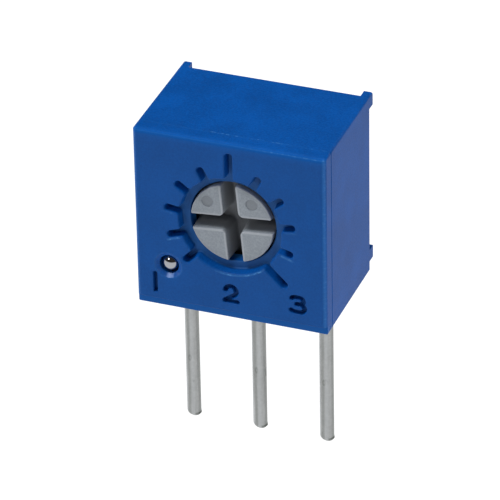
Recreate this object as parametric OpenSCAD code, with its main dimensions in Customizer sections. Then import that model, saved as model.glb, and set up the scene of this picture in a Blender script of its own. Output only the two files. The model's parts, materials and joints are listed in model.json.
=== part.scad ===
// Square single-turn trimmer potentiometer with a front screwdriver rotor and three in-line pins.
// Millimetres. X runs right across the dial, Y runs from the front face to the rear, and Z is up.
// The origin is on the middle pin's axis, in the plane of the stand-off rim.
// A depth is a distance behind the front face, and an angle on the dial is clockwise from its top.

/* [Body] */
// Width of the body across the dial
body_w = 7.0; // [6.8:0.05:7.6]
// Height of the body from the stand-off rim to its top
body_h = 7.05; // [6.85:0.05:7.6]
// Depth of the body from its front face to the rear edge of its walls
body_d = 4.6; // [4.3:0.05:5.2]
// Thickness of the side walls and the top wall
wall = 0.52; // [0.4:0.02:0.56]
// Thickness of the front wall that carries the rotor
front_wall = 1.25; // [1.1:0.05:1.35]
// Thickness of the floor that the terminals pass through
floor_t = 0.52; // [0.4:0.02:0.6]
// Radius of the moulded edges round the front face
edge_r = 0.13; // [0.05:0.01:0.25]
// Radius of the long edges that run to the rear
corner_r = 0.08; // [0.03:0.01:0.2]

/* [Stand-off rim and tabs] */
// Height of the rim that holds the floor off the circuit board
rim_h = 0.35; // [0.2:0.05:0.5]
// Distance of the rim behind the front face
rim_setback = 0.17; // [0.1:0.01:0.3]
// Thickness of the rim along the front
rim_front_t = 0.5; // [0.3:0.05:0.8]
// Thickness of the rim along each side
rim_side_t = 0.55; // [0.4:0.05:0.8]
// Width of each rear tab
tab_w = 0.32; // [0.2:0.02:0.5]
// Height of each rear tab
tab_h = 0.47; // [0.3:0.01:0.7]
// Length that each rear tab stands out behind the walls
tab_l = 0.4; // [0.2:0.05:0.6]
// Height of the lower tabs' undersides above the board
tab_low = 0.4; // [0.2:0.05:0.8]

/* [Parting line] */
// Depth of the mould's parting line behind the front face
parting_at = 0.64; // [0.5:0.02:0.9]
// Width of the witness groove along it
parting_w = 0.05; // [0.03:0.01:0.08]
// Depth of the witness groove
parting_t = 0.025; // [0.015:0.005:0.05]

/* [Dial] */
// Height of the dial's centre above the board
dial_z = 3.77; // [3.6:0.01:3.9]
// Radius of the sunk ring round the rotor
ring_r = 1.87; // [1.78:0.01:2.1]
// Depth of the sunk ring and of the marks
ring_sink = 0.4; // [0.2:0.05:0.5]
// Number of marks
mark_count = 11; // [5:2:15]
// Angle from the top to the last mark on each side
mark_span = 135; // [110:1:140]
// Width of a mark
mark_w = 0.3; // [0.16:0.02:0.4]
// Radius of the corners at a mark's end
mark_end_r = 0.08; // [0.03:0.01:0.08]
// Radius that the short marks reach
mark_short_r = 2.46; // [2.2:0.02:2.6]
// Radius that the two long marks reach
mark_long_r = 2.92; // [2.7:0.02:3.1]

/* [Rotor] */
// Diameter of the rotor's head
rotor_dia = 3.06; // [2.9:0.02:3.2]
// Distance of the rotor's face behind the front face
rotor_sink = 0.17; // [0.05:0.01:0.3]
// Chamfer round the rotor's face
rotor_chamfer = 0.04; // [0.02:0.01:0.08]
// Radial clearance round the rotor's head and its flange
turn_clear = 0.07; // [0.03:0.01:0.09]
// Width of the cross slot's arms in the rotor's face
slot_w = 0.66; // [0.4:0.02:0.8]
// Depth of the cross slot
slot_d = 1.05; // [0.8:0.05:1.15]
// Distance that each wall of the slot leans in on its way to the floor
slot_draft = 0.06; // [0.02:0.01:0.1]
// Radius of the four inner corners of the cross slot in the rotor's face
slot_corner_r = 0.14; // [0.05:0.01:0.25]
// Thickness of the flange that keeps the rotor in the body
flange_t = 0.34; // [0.3:0.02:0.42]
// Angle of the pointer arm at rest
pointer_rest = -5; // [-20:1:20]
// Diameter of the two ejector marks on the face
ejector_dia = 0.42; // [0.3:0.02:0.5]
// Depth of the ejector marks
ejector_sink = 0.03; // [0.02:0.01:0.06]
// Distance of the ejector marks from the rotor's axis
ejector_at = 1.15; // [1:0.01:1.2]

/* [Stops] */
// Half the angle that the rotor's lug covers
lug_half = 13; // [8:1:16]
// Distance that the lug stands out past the flange
lug_proud = 0.42; // [0.25:0.01:0.5]
// Half the angle that the body's stop covers
stop_half = 30.5; // [24:0.5:33]
// Distance that the stop reaches past the lug
stop_past = 0.1; // [0.02:0.02:0.14]

/* [Seal ring] */
// Thickness of the seal ring's round section
seal_dia = 0.34; // [0.26:0.01:0.38]
// Clearance round the seal ring
seal_clear = 0.02; // [0.01:0.01:0.04]
// Depth of the pocket that the seal ring lies in, in the rear of the front wall
seal_pocket = 0.4; // [0.36:0.01:0.45]

/* [Terminals] */
// Distance of the terminals' axes behind the front face
pin_depth = 2.68; // [2.6:0.01:2.95]
// Diameter of the round pins
pin_dia = 0.51; // [0.4:0.01:0.64]
// Length of the pins below the stand-off rim
pin_l = 6.13; // [3:0.01:8]
// Radius round the pins' cut ends
pin_end_r = 0.1; // [0.05:0.01:0.18]
// Height above the board at which the round pin becomes a flat blade
blade_from = 0.1; // [0.05:0.01:0.15]
// Width of the blade inside the body
blade_w = 0.62; // [0.56:0.01:0.7]
// Thickness of the blade inside the body
blade_t = 0.36; // [0.28:0.01:0.4]
// Height of the blades' tops above the board
blade_top = 2.6; // [2.2:0.05:3]
// Clearance round the blade in the floor's notches
notch_clear = 0.06; // [0.03:0.01:0.1]

/* [Element] */
// Thickness of the ceramic substrate
substrate_t = 0.55; // [0.45:0.01:0.6]
// Clearance between the substrate and the walls
substrate_clear = 0.03; // [0.02:0.01:0.05]
// Thickness of the printed films
film_t = 0.03; // [0.02:0.005:0.04]
// Mean radius of the resistance track
track_r = 1.95; // [1.85:0.01:2.02]
// Width of the resistance track
track_w = 0.46; // [0.4:0.01:0.5]
// Angle from the top to each end of the resistance track
track_span = 138; // [136:1:145]
// Mean radius of the collector track
collector_r = 0.78; // [0.76:0.01:0.8]
// Width of the collector track
collector_w = 0.45; // [0.4:0.01:0.5]
// Width of the collector's lead to its terminal
lead_w = 0.4; // [0.3:0.02:0.5]
// Width of each terminal pad
pad_w = 0.76; // [0.7:0.02:0.8]
// Distance of the end pads inside the substrate's sides
pad_inset = 0.03; // [0.01:0.01:0.06]
// Height of the pads on the back of the substrate
pad_h = 1.6; // [1.4:0.05:1.8]
// Radius of the solder joints
solder_r = 0.44; // [0.4:0.01:0.5]
// Length of the solder joints
solder_l = 1.25; // [1:0.05:1.4]
// Length of the solder's tapered ends
solder_taper = 0.3; // [0.1:0.05:0.4]

/* [Wiper] */
// Half the size of the rotor chamber inside the body
chamber_half = 2.6; // [2.56:0.01:2.65]
// Radius of the chamber's corners
chamber_r = 0.6; // [0.3:0.05:0.7]
// Thickness of the wiper's sheet
leaf_t = 0.08; // [0.05:0.01:0.1]
// Radius of the wiper's plate
leaf_r = 1.35; // [1.25:0.01:1.4]
// Side of the square boss that turns the wiper
boss_side = 0.6; // [0.5:0.02:0.66]
// Clearance of the wiper's hole round the boss
boss_clear = 0.02; // [0.01:0.01:0.03]
// Height that the boss stands out past the wiper's plate
boss_past = 0.05; // [0.02:0.01:0.06]
// Number of fingers in each brush
finger_count = 3; // [2:1:3]
// Width of a finger
finger_w = 0.11; // [0.08:0.01:0.12]
// Distance between neighbouring fingers
finger_pitch = 0.15; // [0.13:0.01:0.16]
// Length of a finger from its root to its contact
finger_l = 0.9; // [0.7:0.05:0.95]
// Length of the turned-up tip past the contact
finger_tip = 0.12; // [0.08:0.01:0.15]
// Width of the brushes' roots
root_w = 0.3; // [0.2:0.02:0.32]
// Gap between the fingers' contacts and the films
contact_gap = 0.02; // [0.01:0.005:0.03]

/* [Vent] */
// Distance of the vent to the left of the dial's centre
vent_left = 2.3; // [2.15:0.01:2.35]
// Distance of the vent below the dial's centre
vent_down = 1.91; // [1.85:0.01:2]
// Diameter of the steel ball that closes the vent
ball_dia = 0.7; // [0.6:0.01:0.74]
// Distance of the ball's front behind the front face
ball_sink = 0.14; // [0.08:0.01:0.2]
// Clearance round the ball
ball_clear = 0.01; // [0.005:0.005:0.02]
// Diameter of the narrow hole behind the ball
vent_dia = 0.44; // [0.36:0.01:0.48]
// Depth of the countersink round the vent
vent_chamfer = 0.08; // [0.04:0.01:0.12]

/* [Back seal] */
// Distance of the back seal's surface inside the walls' rear edge
back_seal_sink = 0.25; // [0.1:0.05:0.4]

/* [Hidden] */
$fn = 64;
// Length by which a cutting shape passes the surface that it cuts
over = 1;
// Depth to which a rib, tab or boss is rooted in what carries it
root = 0.1;
front_y = -pin_depth;
rotor_r = rotor_dia / 2;
bore_r = rotor_r + turn_clear;
pin_r = pin_dia / 2;
ball_r = ball_dia / 2;
// Pocket for the element and the back seal
pocket_x = body_w / 2 - wall;
pocket_low = rim_h + floor_t;
pocket_top = body_h - wall;
// Distance between neighbouring terminals, which stand behind the pads of the element
pitch = pocket_x - substrate_clear - pad_inset - pad_w / 2;
// Depths of the rotor's parts
seal_seat = front_wall - seal_pocket;
seal_bore_r = bore_r + seal_dia + 2 * seal_clear;
flange_front = seal_seat + seal_dia + 2 * seal_clear;
flange_rear = flange_front + flange_t;
flange_r = seal_bore_r - turn_clear;
lug_r = flange_r + lug_proud;
leaf_rear = flange_rear + leaf_t;
// Depths of the element's parts
substrate_back = pin_depth - blade_t / 2 - film_t;
substrate_front = substrate_back - substrate_t;
film_front = substrate_front - film_t;
contact_at = film_front - contact_gap;
substrate_low = pocket_low + film_t + substrate_clear;
back_seal_rear = body_d - back_seal_sink;
solder_low = pocket_low + (pad_h - solder_l) / 2 + substrate_clear;
notch_w = blade_w + 2 * notch_clear;
// Place of the ball and of the step that it lies on
ball_at = ball_sink + ball_r;
vent_step = ball_at + sqrt(pow(ball_r, 2) - pow(vent_dia / 2, 2)) + ball_clear;

// Plate from one depth to another, with an outline drawn in X and Z
module slab(from, to) {
    translate([0, front_y + to, 0]) rotate([90, 0, 0]) linear_extrude(to - from) children();
}

// The same plate with its outline drawn about the dial's centre
module dial_slab(from, to) {
    slab(from, to) translate([0, dial_z]) children();
}

// Turned shape round the dial's axis, its profile drawn as radius and depth
module dial_turning() {
    translate([0, front_y, dial_z]) rotate([-90, 0, 0]) rotate_extrude() children();
}

// Turn about the dial's axis, clockwise from the front
module dial_turn(angle) {
    translate([0, 0, dial_z]) rotate([0, angle, 0]) translate([0, 0, -dial_z]) children();
}

// Rectangle with round corners about the centre
module round_rect(w, h, r) {
    square([w - 2 * r, h], center = true);
    square([w, h - 2 * r], center = true);
    for (sx = [-1, 1], sy = [-1, 1]) translate([sx * (w / 2 - r), sy * (h / 2 - r)]) circle(r);
}

// Flat ring
module ring(inner, outer) {
    difference() {
        circle(outer);
        circle(inner);
    }
}

// Wedge about the top of the dial, long enough for any ring on it
module wedge(half) {
    reach = body_h;
    polygon([[0, 0], [-reach * sin(half), reach * cos(half)], [reach * sin(half), reach * cos(half)]]);
}

// Place of a terminal's axis along the row: -1, 0 and 1
module at_terminal(place) {
    translate([place * pitch, 0, 0]) children();
}

// Outside of the moulding: three rounded outlines that meet
module outer_form() {
    long = 2 * body_d;
    intersection() {
        slab(0, body_d) translate([0, body_h / 2]) round_rect(body_w, body_h, corner_r);
        translate([0, front_y + body_d, 0]) linear_extrude(body_h) round_rect(body_w, long, edge_r);
        rotate([90, 0, 90]) linear_extrude(body_w, center = true)
            translate([front_y + body_d, body_h / 2]) round_rect(long, body_h, edge_r);
    }
}

// Step under the front face, and the open underside within the rim
module underside_cuts() {
    slab(-over, rim_setback) translate([-body_w, -over]) square([2 * body_w, over + rim_h]);
    inside = body_w - 2 * rim_side_t;
    slab(rim_setback + rim_front_t, body_d + over)
        translate([-inside / 2, -over]) square([inside, over + rim_h]);
}

// Four stand-off tabs at the rear corners, flush with the walls and their round edges
module rear_tabs() {
    slab(body_d - root, body_d + tab_l) intersection() {
        translate([0, body_h / 2]) round_rect(body_w, body_h, corner_r);
        for (side = [-1, 1], low = [tab_low, body_h - tab_h])
            translate([side * (body_w - tab_w) / 2 - tab_w / 2, low]) square([tab_w, tab_h]);
    }
}

// Witness groove of the mould round the whole section
module parting_groove() {
    slab(parting_at - parting_w / 2, parting_at + parting_w / 2) difference() {
        translate([-body_w, -over]) square([2 * body_w, body_h + 2 * over]);
        translate([0, body_h / 2])
            round_rect(body_w - 2 * parting_t, body_h - 2 * parting_t, corner_r);
    }
}

// One mark of the dial, upright, with round corners at its end
module mark(reach) {
    flat = mark_w / 2 - mark_end_r;
    translate([-mark_w / 2, 0]) square([mark_w, reach - mark_end_r]);
    translate([-flat, 0]) square([2 * flat, reach]);
    for (side = [-1, 1]) translate([side * flat, reach - mark_end_r]) circle(mark_end_r);
}

// Sunk ring with its marks: the one at the top and the last one are long
module dial_recess() {
    step = 2 * mark_span / (mark_count - 1);
    dial_slab(-over, ring_sink) {
        circle(ring_r);
        for (k = [0 : mark_count - 1]) {
            angle = -mark_span + k * step;
            reach = (angle == 0 || k == mark_count - 1) ? mark_long_r : mark_short_r;
            rotate(-angle) mark(reach);
        }
    }
}

// Rotor's bore, the seal ring's pocket and the chamber behind them
module rotor_space() {
    dial_slab(-over, front_wall + over) circle(bore_r);
    dial_slab(seal_seat, front_wall + over) circle(seal_bore_r);
    dial_slab(front_wall, substrate_front + over / 2)
        round_rect(2 * chamber_half, 2 * chamber_half, chamber_r);
}

// Pocket for the element, open to the rear
module pocket(from, to) {
    slab(from, to) translate([-pocket_x, pocket_low]) square([2 * pocket_x, pocket_top - pocket_low]);
}

// Shallow reliefs in the ledge for the pads on the substrate's front
module pad_reliefs() {
    half = pad_w / 2 + pad_inset;
    for (place = [-1 : 1])
        at_terminal(place) slab(film_front - film_t, substrate_front + over / 2)
            translate([-half, pocket_low]) square([2 * half, substrate_low - pocket_low + pad_w + pad_inset]);
}

// Notches in the floor for the terminals' blades
module floor_notches(low, to) {
    for (place = [-1 : 1])
        at_terminal(place) slab(pin_depth - blade_t / 2 - notch_clear, to)
            translate([-notch_w / 2, low]) square([notch_w, pocket_low - low + substrate_clear]);
}

// Stepped vent hole with a countersink
module vent() {
    translate([-vent_left, front_y, dial_z - vent_down]) rotate([-90, 0, 0]) {
        translate([0, 0, -over]) cylinder(h = vent_step + over, r = ball_r + ball_clear);
        cylinder(h = front_wall + over / 2, r = vent_dia / 2);
        translate([0, 0, -over])
            cylinder(h = over + vent_chamfer, r1 = ball_r + ball_clear + vent_chamfer + over,
                     r2 = ball_r + ball_clear);
    }
}

// Stop at the foot of the dial, inside the front wall
module stop_rib() {
    dial_slab(front_wall - root, flange_rear - turn_clear) mirror([0, 1]) intersection() {
        ring(seal_bore_r, lug_r + stop_past);
        wedge(stop_half);
    }
}

module housing() color("#1a5099") {
    difference() {
        outer_form();
        underside_cuts();
        parting_groove();
        dial_recess();
        rotor_space();
        pocket(substrate_front, body_d + over);
        pad_reliefs();
        floor_notches(0, body_d + over);
        vent();
    }
    stop_rib();
    rear_tabs();
}

// Half the width of the cross slot at a depth behind the front face
function slot_half(depth) = slot_w / 2 - slot_draft * (depth - rotor_sink) / slot_d;

// Cross slot with draft on its walls and round inner corners, about the dial's axis
module cross_slot() {
    deep = rotor_sink + slot_d;
    for (a = [0, 90]) rotate([0, a, 0]) linear_extrude(2 * rotor_dia, center = true) polygon([
        [-slot_half(0), 0], [slot_half(0), 0], [slot_half(deep), deep], [-slot_half(deep), deep]
    ]);
    corner = slot_half(rotor_sink) + slot_corner_r;
    for (a = [0 : 90 : 270]) rotate([0, a, 0]) difference() {
        cube([corner, deep, corner]);
        translate([corner, 0, corner]) rotate([-90, 0, 0])
            cylinder(h = deep, r1 = corner - slot_half(0), r2 = corner - slot_half(deep));
    }
}

module rotor() color("#8d9196") dial_turn(pointer_rest) {
    difference() {
        dial_turning() polygon([
            [0, rotor_sink], [rotor_r - rotor_chamfer, rotor_sink],
            [rotor_r, rotor_sink + rotor_chamfer], [rotor_r, flange_front],
            [flange_r, flange_front], [flange_r, flange_rear], [0, flange_rear]
        ]);
        intersection() {
            translate([0, front_y, dial_z]) cross_slot();
            dial_slab(-over, flange_front) circle(rotor_r + turn_clear / 2);
        }
        dial_slab(0, rotor_sink + ejector_sink)
            for (a = [-45, 45]) rotate(a) translate([0, ejector_at]) circle(ejector_dia / 2);
    }
    dial_slab(front_wall + turn_clear / 2, flange_rear) intersection() {
        ring(flange_r / 2, lug_r);
        wedge(lug_half);
    }
    dial_slab(flange_rear - root, leaf_rear + boss_past) square(boss_side, center = true);
}

module rotor_seal_ring() color("#2b2b2e") {
    middle = seal_bore_r - seal_clear - seal_dia / 2;
    dial_turning() translate([middle, seal_seat + seal_clear + seal_dia / 2]) circle(seal_dia / 2);
}

// Fingers of a brush that runs on a track of the given radius above the dial's centre
module brush(radius) {
    lift = contact_at - leaf_rear;
    foot = flange_rear;
    side = [
        [-finger_l, foot], [0, foot + lift], [finger_tip, foot + lift / 2],
        [finger_tip, foot + lift / 2 + leaf_t], [0, foot + lift + leaf_t], [-finger_l, foot + leaf_t]
    ];
    first = -(finger_count - 1) / 2;
    for (k = [0 : finger_count - 1])
        translate([0, front_y, dial_z + radius + (first + k) * finger_pitch - finger_w / 2])
            linear_extrude(finger_w) polygon(side);
    span = (finger_count - 1) * finger_pitch + finger_w;
    dial_slab(flange_rear, leaf_rear)
        translate([-finger_l - root_w, 0]) square([root_w, radius + span / 2]);
}

module wiper_spring() color("#c9a45c") dial_turn(pointer_rest) {
    window = (finger_count - 1) * finger_pitch + finger_w + 2 * boss_clear;
    difference() {
        dial_slab(flange_rear, leaf_rear) circle(leaf_r);
        dial_slab(flange_front, substrate_front) {
            square(boss_side + 2 * boss_clear, center = true);
            translate([-finger_tip - boss_clear, -collector_r - window / 2])
                square([finger_tip + finger_l + boss_clear, window]);
        }
    }
    brush(track_r);
    dial_turn(180) brush(collector_r);
}

module element_substrate() color("#e9e4d8") {
    half = pocket_x - substrate_clear;
    slab(substrate_front, substrate_back)
        translate([-half, substrate_low]) square([2 * half, pocket_top - substrate_clear - substrate_low]);
}

// Outline of the horseshoe track about the dial's centre
module track_outline() {
    difference() {
        ring(track_r - track_w / 2, track_r + track_w / 2);
        mirror([0, 1]) wedge(180 - track_span);
    }
}

module resistance_track() color("#2a2725") dial_slab(film_front, substrate_front) track_outline();

// Outline of the collector with its lead down to the foot of the substrate
module collector_outline() {
    ring(collector_r - collector_w / 2, collector_r + collector_w / 2);
    low = dial_z - substrate_low;
    translate([-lead_w / 2, -low]) square([lead_w, low - collector_r]);
}

module collector_track() color("#b9b3a6") dial_slab(film_front, substrate_front) collector_outline();

// Outline of a pad on the substrate's front: an end pad has a straight lead to the track's end
module front_pad(place) {
    foot = [place * pitch, substrate_low - dial_z + pad_w / 2];
    track_end = track_r * [place * sin(track_span), cos(track_span)];
    lead = foot - track_end;
    translate(foot) square(pad_w, center = true);
    if (place != 0) translate(track_end) rotate(atan2(lead.y, lead.x))
        translate([0, -track_w / 2]) square([norm(lead), track_w]);
}

// Printed pad that leads from the front, under the edge, to the back of the substrate
module terminal_pad(place) color("#c8c6c0") {
    dial_slab(film_front, substrate_front) difference() {
        front_pad(place);
        track_outline();
        collector_outline();
    }
    at_terminal(place) translate([-pad_w / 2, front_y, substrate_low]) {
        translate([0, film_front, -film_t]) cube([pad_w, substrate_back - film_front + film_t, film_t]);
        translate([0, substrate_back, 0]) cube([pad_w, film_t, pad_h]);
    }
}
module end_pad_1() terminal_pad(-1);
module wiper_pad_2() terminal_pad(0);
module end_pad_3() terminal_pad(1);

// Round pin with a blade pressed flat above the seating plane
module terminal(place) color("#a9abad") at_terminal(place) {
    rotate_extrude() {
        translate([0, -pin_l]) square([pin_r - pin_end_r, pin_end_r]);
        translate([0, pin_end_r - pin_l]) square([pin_r, pin_l - pin_end_r + blade_from]);
        translate([pin_r - pin_end_r, pin_end_r - pin_l]) circle(pin_end_r);
    }
    translate([-blade_w / 2, -blade_t / 2, blade_from]) cube([blade_w, blade_t, blade_top - blade_from]);
}
module terminal_1() terminal(-1);
module terminal_2() terminal(0);
module terminal_3() terminal(1);

// Spindle of solder round the blade, flat against the pad
module solder_form(place) {
    at_terminal(place) intersection() {
        translate([0, 0, solder_low]) rotate_extrude() polygon([
            [0, 0], [solder_r - solder_taper / 2, 0], [solder_r, solder_taper],
            [solder_r, solder_l - solder_taper], [solder_r - solder_taper / 2, solder_l], [0, solder_l]
        ]);
        translate([-pitch / 2, -blade_t / 2, 0]) cube([pitch, pitch, body_h]);
    }
}

module solder_joint(place) color("#b4b6b8") difference() {
    solder_form(place);
    terminal(place);
}
module solder_joint_1() solder_joint(-1);
module solder_joint_2() solder_joint(0);
module solder_joint_3() solder_joint(1);

module vent_ball() color("#c4c6c8")
    translate([-vent_left, front_y + ball_at, dial_z - vent_down]) sphere(ball_r);

// Poured resin behind the element and in the floor's notches
module back_seal() color("#20406e") difference() {
    union() {
        pocket(substrate_back, back_seal_rear);
        floor_notches(rim_h, back_seal_rear);
    }
    slab(0, substrate_back) translate([-pocket_x, pocket_low]) square(2 * pocket_x);
    for (place = [-1 : 1]) {
        terminal(place);
        terminal_pad(place);
        solder_form(place);
    }
}

housing();
rotor();
rotor_seal_ring();
wiper_spring();
element_substrate();
resistance_track();
collector_track();
end_pad_1();
wiper_pad_2();
end_pad_3();
solder_joint_1();
solder_joint_2();
solder_joint_3();
terminal_1();
terminal_2();
terminal_3();
vent_ball();
back_seal();
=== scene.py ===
"""Looks of a square single-turn trimmer potentiometer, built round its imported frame.

Lengths are millimetres while a piece is made, and each finished mesh is scaled to metres. X runs right
across the dial, Y from the front face to the rear and Z up, out of the circuit board. A depth is a
distance behind the front face, and an angle on the dial is clockwise from its top.
"""
import json
import logging
import math
from collections.abc import Callable, Mapping, Sequence
from dataclasses import dataclass, field
from enum import Enum
from functools import cached_property
from typing import Any

import bmesh
import bpy
import numpy as np
from mathutils import Matrix, Vector

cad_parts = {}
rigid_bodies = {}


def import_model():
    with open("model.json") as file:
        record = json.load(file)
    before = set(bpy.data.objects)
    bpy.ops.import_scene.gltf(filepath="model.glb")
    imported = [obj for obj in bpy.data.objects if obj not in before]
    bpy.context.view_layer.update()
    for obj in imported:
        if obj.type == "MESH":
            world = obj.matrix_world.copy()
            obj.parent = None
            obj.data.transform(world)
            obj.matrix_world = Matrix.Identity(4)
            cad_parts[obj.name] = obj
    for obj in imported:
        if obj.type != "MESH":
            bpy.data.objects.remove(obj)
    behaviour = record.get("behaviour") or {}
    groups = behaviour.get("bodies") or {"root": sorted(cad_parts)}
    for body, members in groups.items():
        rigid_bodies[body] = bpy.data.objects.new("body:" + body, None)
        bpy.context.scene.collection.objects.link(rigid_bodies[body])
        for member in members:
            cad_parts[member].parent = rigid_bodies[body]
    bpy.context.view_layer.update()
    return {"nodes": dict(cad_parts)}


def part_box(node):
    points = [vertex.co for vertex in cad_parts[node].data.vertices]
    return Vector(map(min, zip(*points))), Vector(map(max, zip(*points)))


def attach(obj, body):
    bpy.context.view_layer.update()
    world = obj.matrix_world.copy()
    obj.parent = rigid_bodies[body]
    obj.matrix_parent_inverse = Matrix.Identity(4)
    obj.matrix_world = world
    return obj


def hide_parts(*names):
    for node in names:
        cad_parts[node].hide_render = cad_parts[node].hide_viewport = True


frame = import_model()

Array = np.ndarray
Point = tuple[float, float]
Place = tuple[float, float, float]
Colour = tuple[float, float, float]
Fall = tuple[float, float]
Shares = tuple[float, float]
Mapper = Callable[[Array, Array, Array], tuple[Array, Array, Array]]

MM = 0.001
BODY = "body"
ROTOR = "rotor"
log = logging.getLogger("trimmer")


def node_box(node: str) -> tuple[Array, Array]:
    """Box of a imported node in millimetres.

    Args:
        node: Name of the node.

    Returns:
        Its lowest and highest corners.
    """
    low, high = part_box(node)
    return np.array(low) / MM, np.array(high) / MM


class Join(Enum):
    """Ways in which one closed form is joined with another."""

    CUT = "DIFFERENCE"
    ADD = "UNION"


@dataclass
class Form:
    """A closed surface in millimetres, held as points and faces."""

    points: Array
    faces: list[tuple[int, ...]]

    def mesh(self, name: str) -> bpy.types.Mesh:
        """Writes the form into a mesh whose faces point outwards.

        Args:
            name: Name of the mesh.

        Returns:
            The new mesh, still in millimetres.
        """
        mesh = bpy.data.meshes.new(name)
        mesh.from_pydata(self.points, [], self.faces)
        face_outwards(mesh)
        return mesh


def face_outwards(mesh: bpy.types.Mesh, merge: float = 0.0) -> None:
    """Turns the faces of a closed mesh outwards.

    Args:
        mesh: The mesh to mend in place.
        merge: Distance within which doubled points become one, or 0 to keep all.
    """
    work = bmesh.new()
    work.from_mesh(mesh)
    if merge:
        bmesh.ops.remove_doubles(work, verts=work.verts, dist=merge)
    bmesh.ops.recalc_face_normals(work, faces=work.faces)
    work.to_mesh(mesh)
    work.free()


def arc(centre: Point, radius: float, start: float, stop: float, count: int) -> Array:
    """Points on an arc: the centre plus the radius times the cosine and sine of an even row of angles.

    Args:
        centre: Centre of the arc.
        radius: Its radius.
        start: First angle in degrees.
        stop: Last angle in degrees.
        count: Number of points.

    Returns:
        The points, one in each row.
    """
    angle = np.radians(np.linspace(start, stop, count))
    return np.array(centre) + radius * np.column_stack([np.cos(angle), np.sin(angle)])


def turned_clockwise(points: Array, angle: float) -> Array:
    """Turns points of the dial's plane clockwise about its centre.

    Args:
        points: Points as across and up, one in each row.
        angle: Angle in degrees.

    Returns:
        The turned points.
    """
    c, s = math.cos(math.radians(angle)), math.sin(math.radians(angle))
    return points @ np.array([[c, -s], [s, c]])


def rounded(corners: Sequence[tuple[float, float, float]], steps: int = 6) -> Array:
    """Closed outline whose corners are arcs that touch both of their sides.

    Each arc's centre lies on the corner's bisector, at the radius over the sine of half the corner's angle.

    Args:
        corners: Across, up and radius of each corner, in order round the outline.
        steps: Number of points on each arc.

    Returns:
        The outline, one point in each row.
    """
    place = np.array([c[:2] for c in corners])
    pieces = []
    for here, before, after, corner in zip(place, np.roll(place, 1, 0), np.roll(place, -1, 0), corners):
        radius = corner[2]
        if radius == 0:
            pieces.append(here[None])
            continue
        back = (before - here) / np.linalg.norm(before - here)
        ahead = (after - here) / np.linalg.norm(after - here)
        middle = back + ahead
        half = 0.5 * math.acos(float(np.clip(back @ ahead, -1, 1)))
        centre = here + middle / np.linalg.norm(middle) * radius / math.sin(half)
        first = here + back * radius / math.tan(half) - centre
        last = here + ahead * radius / math.tan(half) - centre
        start = math.atan2(first[1], first[0])
        sweep = (math.atan2(last[1], last[0]) - start + math.pi) % math.tau - math.pi
        angle = start + sweep * np.linspace(0, 1, steps)
        pieces.append(centre + radius * np.column_stack([np.cos(angle), np.sin(angle)]))
    return np.vstack(pieces)


def box_outline(x0: float, x1: float, z0: float, z1: float, radius: float = 0.0, steps: int = 6) -> Array:
    """Rectangle with equal round corners.

    Args:
        x0: Left side.
        x1: Right side.
        z0: Lower side.
        z1: Upper side.
        radius: Radius of its corners.
        steps: Number of points on each corner.

    Returns:
        The outline, counter-clockwise.
    """
    return rounded([(x0, z0, radius), (x1, z0, radius), (x1, z1, radius), (x0, z1, radius)], steps)


def outward(outline: Array) -> Array:
    """Directions that move each point of a closed outline so that its sides move outwards by one.

    A point's direction is the sum of its two sides' normals over one plus their dot product, so that a
    corner keeps its angle.

    Args:
        outline: Closed outline, counter-clockwise.

    Returns:
        One direction for each point.
    """
    side = np.roll(outline, -1, 0) - outline
    normal = np.column_stack([side[:, 1], -side[:, 0]]) / np.linalg.norm(side, axis=1)[:, None]
    before = np.roll(normal, 1, 0)
    share = 1 + np.sum(normal * before, axis=1)
    return (normal + before) / np.maximum(share, 0.35)[:, None]


def ring_faces(levels: int, around: int, closed: bool = False) -> list[tuple[int, ...]]:
    """Quads between neighbouring rings of a grid whose rings are closed.

    Args:
        levels: Number of rings.
        around: Number of points on each ring.
        closed: Whether the last ring joins the first.

    Returns:
        The faces, as numbers of points in row order.
    """
    level = np.arange(levels if closed else levels - 1)[:, None]
    step = np.arange(around)[None]
    above, beside = (level + 1) % levels, (step + 1) % around
    quads = np.stack([level * around + step, level * around + beside,
                      above * around + beside, above * around + step], -1)
    return [tuple(q) for q in quads.reshape(-1, 4).tolist()]


def stacked(rings: Array) -> Form:
    """Closed surface through a stack of rings, with a flat face on each end.

    Args:
        rings: Points as levels, steps round and X, Y, Z.

    Returns:
        The form.
    """
    levels, around, _ = rings.shape
    caps = [tuple(range(around)), tuple((levels - 1) * around + i for i in range(around))]
    return Form(rings.reshape(-1, 3), ring_faces(levels, around) + caps)


class Sides:
    """Ways in which an outline and a depth become X, Y and Z."""

    front: float = float(node_box("housing")[0][1])

    @classmethod
    def face(cls, across: Array, up: Array, depth: Array) -> tuple[Array, Array, Array]:
        """Outline on the front face, depth towards the rear."""
        return across, cls.front + depth, up

    @classmethod
    def underside(cls, across: Array, rearward: Array, height: Array) -> tuple[Array, Array, Array]:
        """Outline on the underside, its second value a depth, carried upwards."""
        return across, cls.front + rearward, height

    @classmethod
    def section(cls, depth: Array, up: Array, across: Array) -> tuple[Array, Array, Array]:
        """Outline as a section through depth and height, carried across."""
        return across, cls.front + depth, up


def carried(outline: Array, profile: Sequence[Point], side: Mapper = Sides.face) -> Form:
    """Carries a profile round a closed outline.

    A point of the surface is the outline's point plus its outward direction times the profile's offset,
    at the profile's depth.

    Args:
        outline: Closed outline, counter-clockwise.
        profile: Offset and depth of each level.
        side: How outline and depth become X, Y and Z.

    Returns:
        The closed form, flat at both ends.
    """
    offset, depth = np.array(profile, float).T
    grid = outline[None] + offset[:, None, None] * outward(outline)[None]
    level = np.broadcast_to(depth[:, None], grid.shape[:2])
    return stacked(np.stack(side(grid[..., 0], grid[..., 1], level), -1))


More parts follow.
